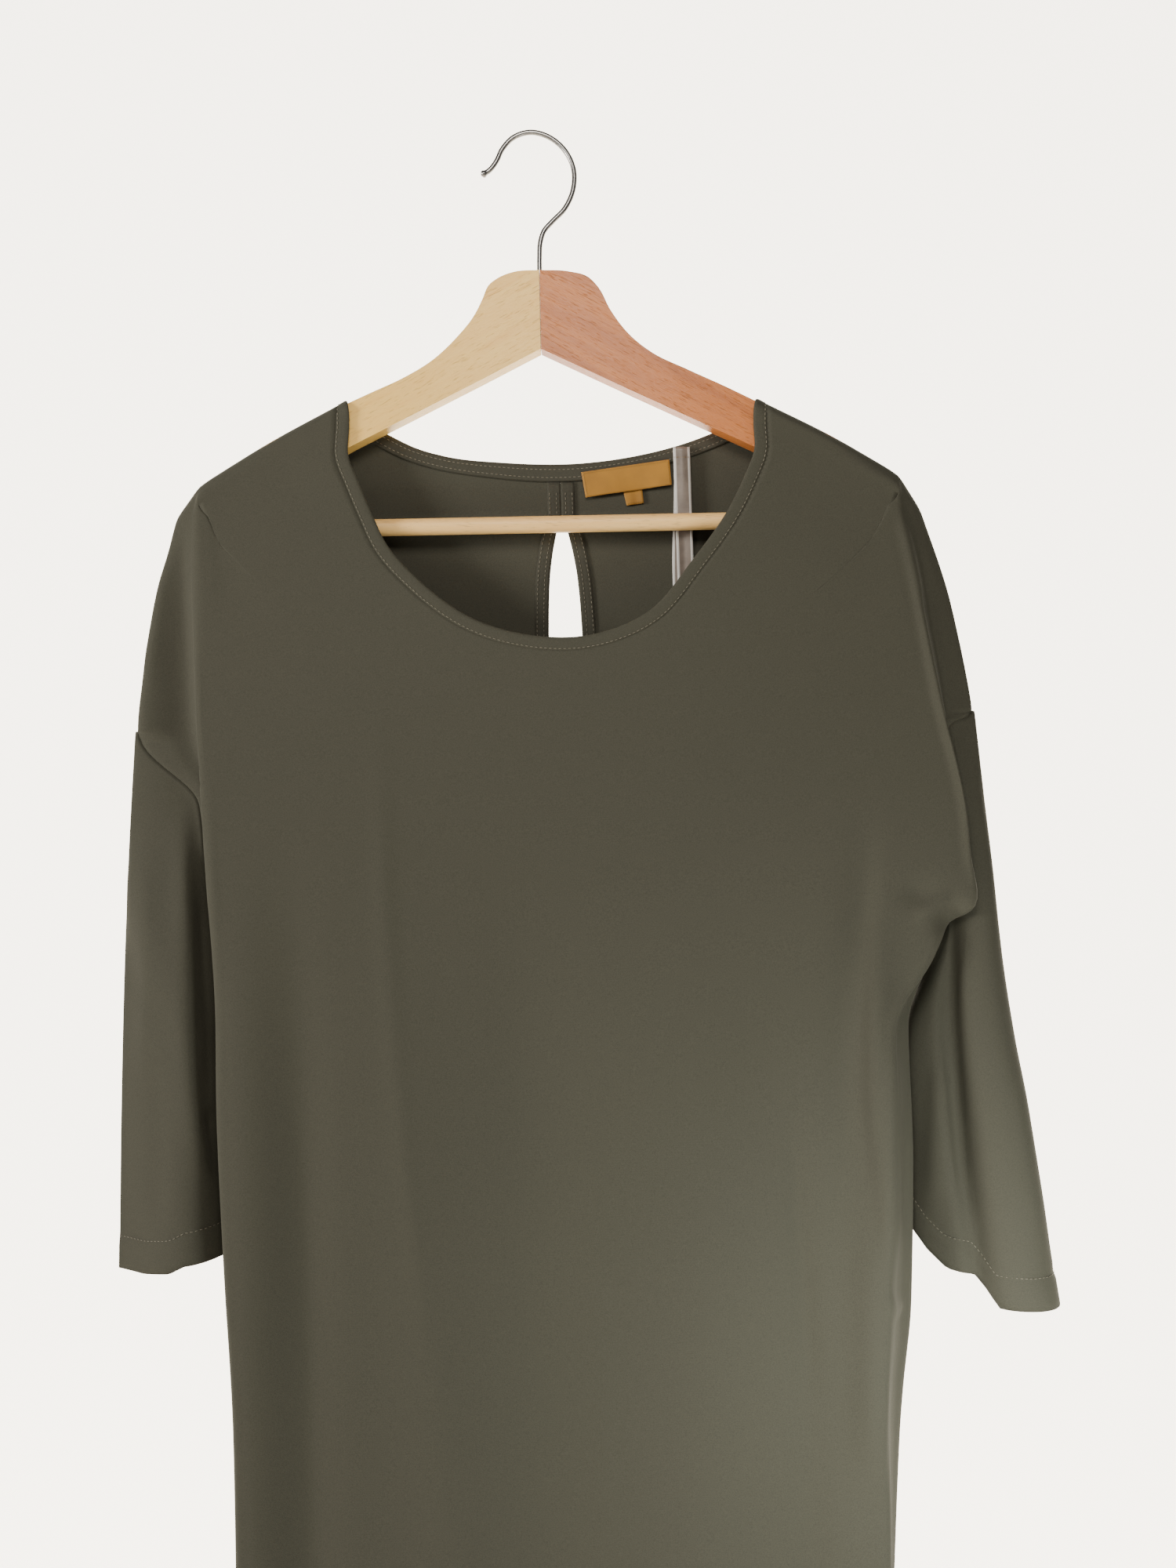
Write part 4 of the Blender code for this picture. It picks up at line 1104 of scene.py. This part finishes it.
def add_panels(cloth):
    """The front and the back of the dress."""
    grids = {}
    for name, outward, pushes, creases in (("front", (0, -1, 0), FRONT_PUSHES, FRONT_CREASES),
                                           ("back", (0, 1, 0), (), BACK_CREASES)):
        grid = push(panel_grid(name), pushes)
        grid = press_creases(grid, grid_normals(grid, outward), creases)
        grids[name] = (grid, grid_normals(grid, outward))
    hole = np.zeros(grids["back"][0].shape[:2], dtype=bool)
    centre = FLANK_LINES + MIDDLE // 2
    heights = grids["back"][0][:, centre, 2]
    inside = (heights > KEYHOLE[0][0] - KEYHOLE_REACH) & (heights < KEYHOLE[-1][0] - TAPE_DROP)
    hole[inside, centre - 1:centre + 1] = True
    for name, area in (("front", 0.46), ("back", 0.48)):
        grid, normals = grids[name]
        shown = turn_up_hem(tuck_edges(grid, normals, SEAM_TUCK), normals, HEM_ROWS[1])
        if name == "front":
            shown[0] += unit(shown[0] - shown[1]) * BAND_OVERLAP
        cut = hole if name == "back" else None
        item = add_cloth(name + "_panel_jersey", shown, WALL, cloth, hole=cut)
        finish_piece(item, [name + "_panel"])
    return grids


def ring_half(ring, count, side):
    """Half of a sleeve section, from its outer edge to its inner edge."""
    at = dict(zip(RING_COLUMNS, ring))
    reach = at[side]
    peak = at[side + "_at"]
    power = math.log(0.5) / math.log(peak)
    part = 0.5 * (1 - np.cos(math.pi * np.arange(count + 1) / count))
    x = at["outer"] + (at["inner"] - at["outer"]) * part
    z = at["outer_z"] + (at["inner_z"] - at["outer_z"]) * part
    bulge = np.maximum(np.sin(math.pi * part ** power), 0.0) ** SECTION_SQUARE
    y = at["inner_y"] * part + (reach - at["inner_y"] * peak) * bulge
    if side == "front":
        y += at["crease"] * np.exp(-((part - at["crease_at"]) / CREASE_WIDTH) ** 2)
    return np.stack((x, y, z), axis=1)


def leaving_directions(grids, edge, first, last, armhole):
    """Which way the panels' cloth runs on over the armhole seam, at each of its points."""
    inner = 2 if edge == 0 else -3
    front = grids["front"][0]
    back = grids["back"][0]
    out_front = front[first:last + 1, edge] - front[first:last + 1, inner]
    out_back = back[first:last + 1, edge] - back[first:last + 1, inner]
    out_front[0] = front[first, edge] - front[first - 3, edge]
    out_front[-1] = np.multiply(UNDERARM_WAY, (1 if edge else -1, 1, 1))
    out = unit(np.vstack((out_front, out_back[-2:0:-1])))
    for _ in range(COLLAR_ROUNDS):
        out = 0.5 * out + 0.25 * (np.roll(out, 1, axis=0) + np.roll(out, -1, axis=0))
    along = unit(np.roll(armhole, -1, axis=0) - np.roll(armhole, 1, axis=0))
    return unit(square_to(out, along))


def sleeve_grid(grids, edge, rings):
    """Rows of a sleeve from its armhole to its cuff, each round the arm."""
    rows = station_rows()
    first = min(range(len(rows)), key=lambda k: abs(rows[k] - TIP))
    last = min(range(len(rows)), key=lambda k: abs(rows[k] - UNDERARM))
    front = grids["front"][0][first:last + 1, edge]
    back = grids["back"][0][first:last + 1, edge]
    armhole = np.vstack((front, back[-2:0:-1]))
    collar = armhole + COLLAR * leaving_directions(grids, edge, first, last, armhole)
    sections = [armhole, collar]
    for ring in rings:
        near = ring_half(ring, last - first, "front")
        far = ring_half(ring, last - first, "back")
        sections.append(np.vstack((near, far[-2:0:-1])))
    sections = np.array(sections)
    lines = []
    for k in range(sections.shape[1]):
        rest = round_curve(sections[1:, k], np.linspace(0, 1, SLEEVE_ROWS))
        lines.append(np.vstack((sections[:1, k], rest)))
    return np.array(lines).transpose(1, 0, 2), last - first


def add_sleeves(grids, cloth):
    """Both sleeves, each a tube that starts on its armhole seam."""
    shown = {}
    for name, edge, rings, creases, cuff in (
            ("left_sleeve", 0, LEFT_RINGS, LEFT_CREASES, LEFT_CUFF),
            ("right_sleeve", -1, RIGHT_RINGS, RIGHT_CREASES, RIGHT_CUFF)):
        grid, half = sleeve_grid(grids, edge, rings)
        grid[1:] = push(grid[1:], SLEEVE_PUSHES[name])
        grid = drop_cuff(grid, cuff)
        centre = grid.mean(axis=1, keepdims=True)
        normals = grid_normals(grid, grid - centre, closed=True)
        front = np.zeros(grid.shape[:2])
        front[:, :half + 1] = np.sin(np.linspace(0, math.pi, half + 1)) ** 0.4
        grid = press_creases(grid, normals, creases, front)
        normals = grid_normals(grid, grid - centre, closed=True)
        tucked = grid.copy()
        tucked[0] -= normals[0] * SEAM_TUCK
        tucked = turn_up_hem(tucked, normals, CUFF_ROWS[1])
        item = add_cloth(name + "_jersey", tucked, WALL, cloth, closed=True)
        finish_piece(item, [name])
        shown[name] = (grid, normals)
    return shown


def add_neck_band(grids, cloth):
    """The turned edge of the scoop neck: a folded strip with fine ribs over its rounded rim."""
    grid, normals = grids["front"]
    edge = grid[0]
    lengths = lengths_along(edge)
    even = np.linspace(0, lengths[-1], int(lengths[-1] / BAND_STEP))
    line = read_line(edge, lengths, even)
    out = read_line(normals[0], lengths, even)
    up = read_line(edge - grid[2], lengths, even)
    for _ in range(BAND_ROUNDS):
        for part in (line, out):
            part[1:-1] = 0.5 * part[1:-1] + 0.25 * (part[:-2] + part[2:])
    along = unit(np.gradient(line, axis=0))
    up = unit(square_to(up, along))
    out = unit(square_to(square_to(out, along), up))
    rib = 0.5 + 0.5 * np.cos(2 * math.pi * even / RIB_PITCH)
    from_end = np.clip(np.minimum(even, lengths[-1] - even) / BAND_TAPER, 0, 1)
    tall = (BAND_END + (1 - BAND_END) * np.sqrt(1 - (1 - from_end) ** 2))[:, None]
    sections = []
    for height, reach in BAND_PROFILE:
        share = smooth_step((height - RIB_START) / RIB_FADE) * (1 if reach >= 0 else RIB_BEHIND)
        shown = RIB_OUT * rib * share
        sections.append(line + up * height * tall
                        + out * (reach * BAND_HALF + np.sign(reach) * shown)[:, None]
                        + up * (shown * (height > RIM_HEIGHT))[:, None])
    tube = np.array(sections).transpose(1, 0, 2)
    i, j, faces = grid_faces(*tube.shape[:2], closed=True)
    uv = measure(tube, closed=True)[:, :, ::-1]
    item = add_mesh("front_neck_band_jersey", tube.reshape(-1, 3), faces.tolist(), cloth,
                    corner_uvs(uv, i, j))
    close_ends(item.data)
    finish_piece(item, ["front_neck_band"])
    return line, up, out


def inside_back(x, z, out):
    """Points on the inside of the back panel, moved out of it by a distance."""
    x, z = np.broadcast_arrays(np.asarray(x, dtype=float), np.asarray(z, dtype=float))
    return np.stack((x, middle_depth(x, z, "back") - out, z), axis=-1)


def layer_out(layer):
    """Distance from the back panel's middle to the middle of a trim's layer."""
    return 0.5 * CAD_WALL + SEAM + 0.5 * CAD_TRIM_WALL + layer * (CAD_TRIM_WALL + SEAM)


def pillow(grid, amount):
    """Lowers a strip's rim towards what it lies on, so that its middle stands a little proud."""
    rim = np.ones(grid.shape[:2])
    rim[1:-1, 1:-1] = 0
    grid = grid.copy()
    grid[:, :, 1] += amount * rim
    return grid


def add_tape(grids, cloth):
    """Tape over the back neck seam, along the panel's own edge."""
    columns = np.arange(FLANK_LINES - 2, FLANK_LINES + MIDDLE + 3)
    part = grids["back"][0][:, columns]
    along = np.arange(len(columns), dtype=float)
    grid = np.array([on_grid(part, row_at(part, distance), along)
                     for distance in np.linspace(TAPE_DROP, TAPE_DROP + TAPE_WIDTH, TAPE_LINES)])
    grid[:, :, 1] -= layer_out(0)
    for line in TAPE_SEAMS:
        grid[line, :, 1] += TAPE_DIP
    item = add_cloth("back_neck_tape_cloth", pillow(grid, RIM_DROP), TRIM_WALL, cloth)
    finish_piece(item, ["back_neck_tape"])
    return [facing_front(grid[line] - (0, 0.5 * TRIM_WALL, 0)) for line in TAPE_SEAMS]


def add_facings(cloth):
    """The two strips that turn in the edges of the keyhole."""
    heights = np.linspace(KEYHOLE[-1][0] - TAPE_DROP, KEYHOLE[0][0] - FACING_WIDTH, FACING_ROWS)
    shut = smooth_step((heights - FACINGS_SHUT[0]) / (FACINGS_SHUT[1] - FACINGS_SHUT[0]))
    inner = np.where(heights > KEYHOLE[0][0], keyhole_half(heights) + SEAM, FACING_MET)
    inner = inner * (1 - shut) + FACINGS_APART * shut
    lines = []
    for name, side in (("keyhole_facing_left", -1), ("keyhole_facing_right", 1)):
        places = [keyhole_centre(heights) + side * (inner + FACING_WIDTH * part)
                  for part in np.linspace(0, 1, FACING_LINES)]
        grid = np.stack([inside_back(x, heights, layer_out(0)) for x in places[::side]], axis=1)
        shown = grid.copy()
        for line in FACING_SEAMS[side]:
            shown[:, line, 1] += FACING_DIP
            lines.append(facing_front(grid[2:-3, line] - (0, 0.5 * TRIM_WALL, 0)))
        item = add_cloth(name + "_cloth", pillow(shown, RIM_DROP), TRIM_WALL, cloth)
        finish_piece(item, [name])
    return lines


def patch_grid(corners, layer, across, down, wave):
    """A four-cornered trim that follows the inside of the back and waves a little."""
    corners = np.array(corners, dtype=float)
    part = np.linspace(0, 1, across + 1)
    rows = []
    for i in range(down + 1):
        left = corners[0] + (corners[3] - corners[0]) * i / down
        right = corners[1] + (corners[2] - corners[1]) * i / down
        points = left + (right - left) * part[:, None]
        lift = wave * (i / down) * (0.5 - 0.5 * np.cos(2 * math.pi * (1.5 * part + 0.1)))
        rows.append(inside_back(points[:, 0], points[:, 1], layer_out(layer) + lift))
    return np.array(rows)


def add_label(ochre, fold):
    """The bare woven label and its small tab, with rows of stitches near their edges."""
    grid = patch_grid(LABEL, layer=1, across=44, down=14, wave=0.9)
    item = add_cloth("label_weave", grid, WEAVE_WALL, ochre)
    finish_piece(item, ["label"])
    tab = patch_grid(SIZE_TAB, layer=0, across=12, down=12, wave=0.5)
    piece = add_cloth("size_tab_weave", tab, WEAVE_WALL, ochre)
    finish_piece(piece, ["size_tab"])
    lines = [facing_front(line - (0, LABEL_STITCH_OUT, 0))
             for line in (grid[1:-1, 1], grid[1:-1, -2], grid[1, 1:-1], tab[-2, 1:-1])]
    finish_piece(add_stitches("label_stitches", lines, fold, *LABEL_STITCH))


def add_ribbon(ribbon, stitch):
    """A satin ribbon that hangs from the back neck and is doubled at its lower end."""
    top_x, top_z = LOOP_TOP
    down = np.linspace(0, 1, LOOP_ROWS)
    across = np.linspace(-0.5, 0.5, LOOP_COLUMNS)
    sway, sway_pace = LOOP_SWAY
    curl, curl_pace = LOOP_CURL
    rows = []
    for side_name, away, places in (("near", 1, down), ("far", -1, down[::-1])):
        for part in places:
            shift = sway * math.sin(sway_pace * part) if away < 0 else 0
            x = top_x + LOOP_LEAN[side_name] * part + shift
            spread = smooth_step(LOOP_ROUND * (1 - part) + LOOP_END)
            out = layer_out(1) + LOOP_BEND * (1 + away * spread)
            bend = curl * np.cos(2 * math.pi * across) * math.sin(curl_pace * part + away)
            rows.append(inside_back(x + across * LOOP_WIDTH, top_z - LOOP_LENGTH * part, out + bend))
    item = add_cloth("hanging_loop_satin", np.array(rows), SATIN_WALL, ribbon)
    finish_piece(item, ["hanging_loop"])
    points = inside_back(top_x + across * LOOP_WIDTH, top_z - LOOP_SEAM,
                         layer_out(1) + 2 * LOOP_BEND + LOOP_STITCH_OUT)
    piece = add_stitches("loop_stitches", [facing_front(points)], stitch, *LOOP_STITCH)
    finish_piece(piece)


def board_outline(top, shoulder, end, low, mitre_shift):
    """A hanger board's outline, from the top of the mitre out and back to its foot."""
    mitre_top = (MITRE[0][0] + mitre_shift, MITRE[0][1])
    mitre_foot = (MITRE[1][0] + mitre_shift, MITRE[1][1])
    stations = np.linspace(0, ARM_END, BOARD_POINTS["under_cloth"])
    keys = np.arange(len(shoulder))
    x = smooth_read(keys, column(shoulder, SHOULDER_COLUMNS, "x"), stations)
    z = smooth_read(keys, column(shoulder, SHOULDER_COLUMNS, "z"), stations)
    z -= np.interp(stations, range(ARM_END + 1), CLOTH_REST)
    under_cloth = np.stack((x, z), axis=1)
    upper = round_curve([mitre_top, *top, under_cloth[0]], np.linspace(0, 1, BOARD_POINTS["upper"]))
    corner = round_curve(end, np.linspace(0, 1, BOARD_POINTS["corner"]))
    return [tuple(point) for point in (*upper, *under_cloth[1:], *corner, *low, mitre_foot)]


def add_board(name, outline, wood):
    """A board with the outline's shape, whose long edges are rounded."""
    mesh = bpy.data.meshes.new(name)
    work = bmesh.new()
    bevel = work.edges.layers.float.new("bevel_weight_edge")
    front = [work.verts.new((x * MM, -0.5 * ARM_THICK * MM, z * MM)) for x, z in outline]
    face = work.faces.new(front)
    grown = bmesh.ops.extrude_face_region(work, geom=[face])
    back = [item for item in grown["geom"] if isinstance(item, bmesh.types.BMVert)]
    bmesh.ops.translate(work, verts=back, vec=(0, ARM_THICK * MM, 0))
    bmesh.ops.recalc_face_normals(work, faces=work.faces)
    for edge in work.edges:
        ends = [vertex.co for vertex in edge.verts]
        lies_flat = abs(ends[0].y - ends[1].y) < MM
        on_mitre = all(0 < point.x < (MITRE[1][0] + MITRE_REACH) * MM for point in ends)
        edge[bevel] = 1.0 if lies_flat and not on_mitre else 0.0
    work.to_mesh(mesh)
    work.free()
    mesh.materials.append(wood)
    mesh.shade_smooth()
    mesh.set_sharp_from_angle(angle=BOARD_SHARP)
    item = bpy.data.objects.new(name + "_wood", mesh)
    dress.objects.link(item)
    rounding = item.modifiers.new("Rounded edges", "BEVEL")
    rounding.limit_method = "WEIGHT"
    rounding.width = ARM_ROUNDING * MM
    rounding.segments = BOARD_ROUNDING_STEPS
    finish_piece(item, [name])


def add_round(name, path, radii, sides, material, nodes):
    """A round bar or wire along a path, closed at both ends."""
    side = np.tile((0.0, 1.0, 0.0), (len(path), 1))
    up = np.cross(unit(np.gradient(path, axis=0)), side)
    turns = np.linspace(0, 2 * math.pi, sides, endpoint=False)[:, None]
    rings = path[:, None] + radii[:, None, None] * (np.cos(turns) * side[:, None]
                                                    + np.sin(turns) * up[:, None])
    _, _, faces = grid_faces(len(path), sides, closed=True)
    item = add_mesh(name, rings.reshape(-1, 3), faces.tolist(), material)
    close_ends(item.data)
    item.data.shade_smooth()
    item.data.set_sharp_from_angle(angle=ROUND_SHARP)
    finish_piece(item, nodes)


def add_hanger():
    """Two mitred boards, the bar and the hook."""
    left = board_outline(WOOD_TOP_LEFT, LEFT_SHOULDER, WOOD_END_LEFT, WOOD_LOW_LEFT, -MITRE_GAP)
    right = board_outline(WOOD_TOP_RIGHT, RIGHT_SHOULDER, WOOD_END_RIGHT, WOOD_LOW_RIGHT, MITRE_GAP)
    add_board("hanger_arm_left", left, lacquered_wood("pale_wood"))
    add_board("hanger_arm_right", right, lacquered_wood("warm_wood"))
    (left_x, left_z), (right_x, right_z) = BAR_ENDS
    bar = np.linspace((left_x, 0, left_z), (right_x, 0, right_z), BAR_POINTS)
    radii = np.full(len(bar), BAR_RADIUS)
    radii[[0, -1]] = BAR_RADIUS - BAR_BEVEL
    add_round("hanger_bar_wood", bar, radii, BAR_SIDES, lacquered_wood("bar_wood"),
              ["hanger_bar"])
    line = round_curve(HOOK, np.linspace(0, 1, HOOK_POINTS))
    wire = np.stack((line[:, 0], np.zeros(len(line)), line[:, 1]), axis=1)
    tip = np.linalg.norm(wire - wire[0], axis=1)
    radii = WIRE_RADIUS * (1 + KNOB * (1 - smooth_step((tip - KNOB_END) / KNOB_FADE)))
    radii *= np.sqrt(np.clip(1 - (1 - np.minimum(tip, TIP_ROUND) / TIP_ROUND) ** 2, TIP_LEAST, 1))
    add_round("hanger_hook_wire", wire, radii, HOOK_SIDES, drawn_steel(), ["hanger_hook"])


def add_seams(grids, sleeves, band, inside, beige):
    """The thread of the neck, hem and cuffs, and of the trims inside the neck."""
    line, up, out = band
    pieces = {
        "neck_stitches": [(line + up * BAND_STITCH_UP + out * BAND_HALF, out)],
        "inside_neck_stitches": inside,
        "hem_stitches": [*hem_lines(*grids["front"], HEM_ROWS), *hem_lines(*grids["back"], HEM_ROWS)],
        "left_cuff_stitches": hem_lines(*sleeves["left_sleeve"], CUFF_ROWS, closed=True),
        "right_cuff_stitches": hem_lines(*sleeves["right_sleeve"], CUFF_ROWS, closed=True),
    }
    for name, lines in pieces.items():
        finish_piece(add_stitches(name, lines, beige, *STITCH))


def add_stage():
    """A pale floor, and a backdrop that glows a little."""
    for name, profile, glow in STAGES:
        mesh = bpy.data.meshes.new(name)
        points = [(x, y, z) for y, z in profile for x in (-STAGE_REACH, STAGE_REACH)]
        mesh.from_pydata(points, [], [(0, 1, 3, 2)])
        mesh.materials.append(plain_stage("pale_" + name, glow))
        stage = bpy.data.objects.new(name, mesh)
        bpy.context.scene.collection.objects.link(stage)


def add_light(name, place, target, size, power, colour):
    """A soft square light."""
    light = bpy.data.lights.new(name, "AREA")
    light.size = size
    light.energy = power
    light.color = colour
    item = bpy.data.objects.new(name, light)
    item.location = place
    item.rotation_euler = (Vector(target) - Vector(place)).to_track_quat("-Z", "Y").to_euler()
    item.visible_camera = False
    bpy.context.scene.collection.objects.link(item)


def add_lights():
    """A little light from all round, and the lights of the table."""
    world = bpy.data.worlds.new("studio")
    bpy.context.scene.world = world
    world.use_nodes = True
    background = world.node_tree.nodes["Background"]
    background.inputs["Color"].default_value = WORLD_COLOUR
    background.inputs["Strength"].default_value = WORLD_STRENGTH
    for row in LIGHTS:
        add_light(*row)


def add_camera():
    """The photograph's view: straight at the dress from a short distance."""
    camera = bpy.data.cameras.new("camera")
    camera.lens = CAMERA_LENS
    camera.sensor_fit = "VERTICAL"
    camera.sensor_height = CAMERA_SENSOR
    item = bpy.data.objects.new("camera", camera)
    item.location = CAMERA_PLACE
    item.rotation_euler = (0.5 * math.pi, 0, 0)
    bpy.context.scene.collection.objects.link(item)
    bpy.context.scene.camera = item


def main():
    """Builds the dress, its hanger and the studio."""
    cloth = jersey("olive_jersey", *OLIVE_JERSEY)
    tape = jersey("olive_tape", *OLIVE_TAPE)
    beige = thread("beige_thread", BEIGE)
    dark = thread("ochre_thread", OCHRE)
    add_camera()
    grids = add_panels(cloth)
    sleeves = add_sleeves(grids, cloth)
    band = add_neck_band(grids, cloth)
    inside = add_tape(grids, tape) + add_facings(tape)
    add_label(woven_label(), dark)
    add_ribbon(satin_ribbon(), dark)
    add_hanger()
    add_seams(grids, sleeves, band, inside, beige)
    add_stage()
    add_lights()


main()
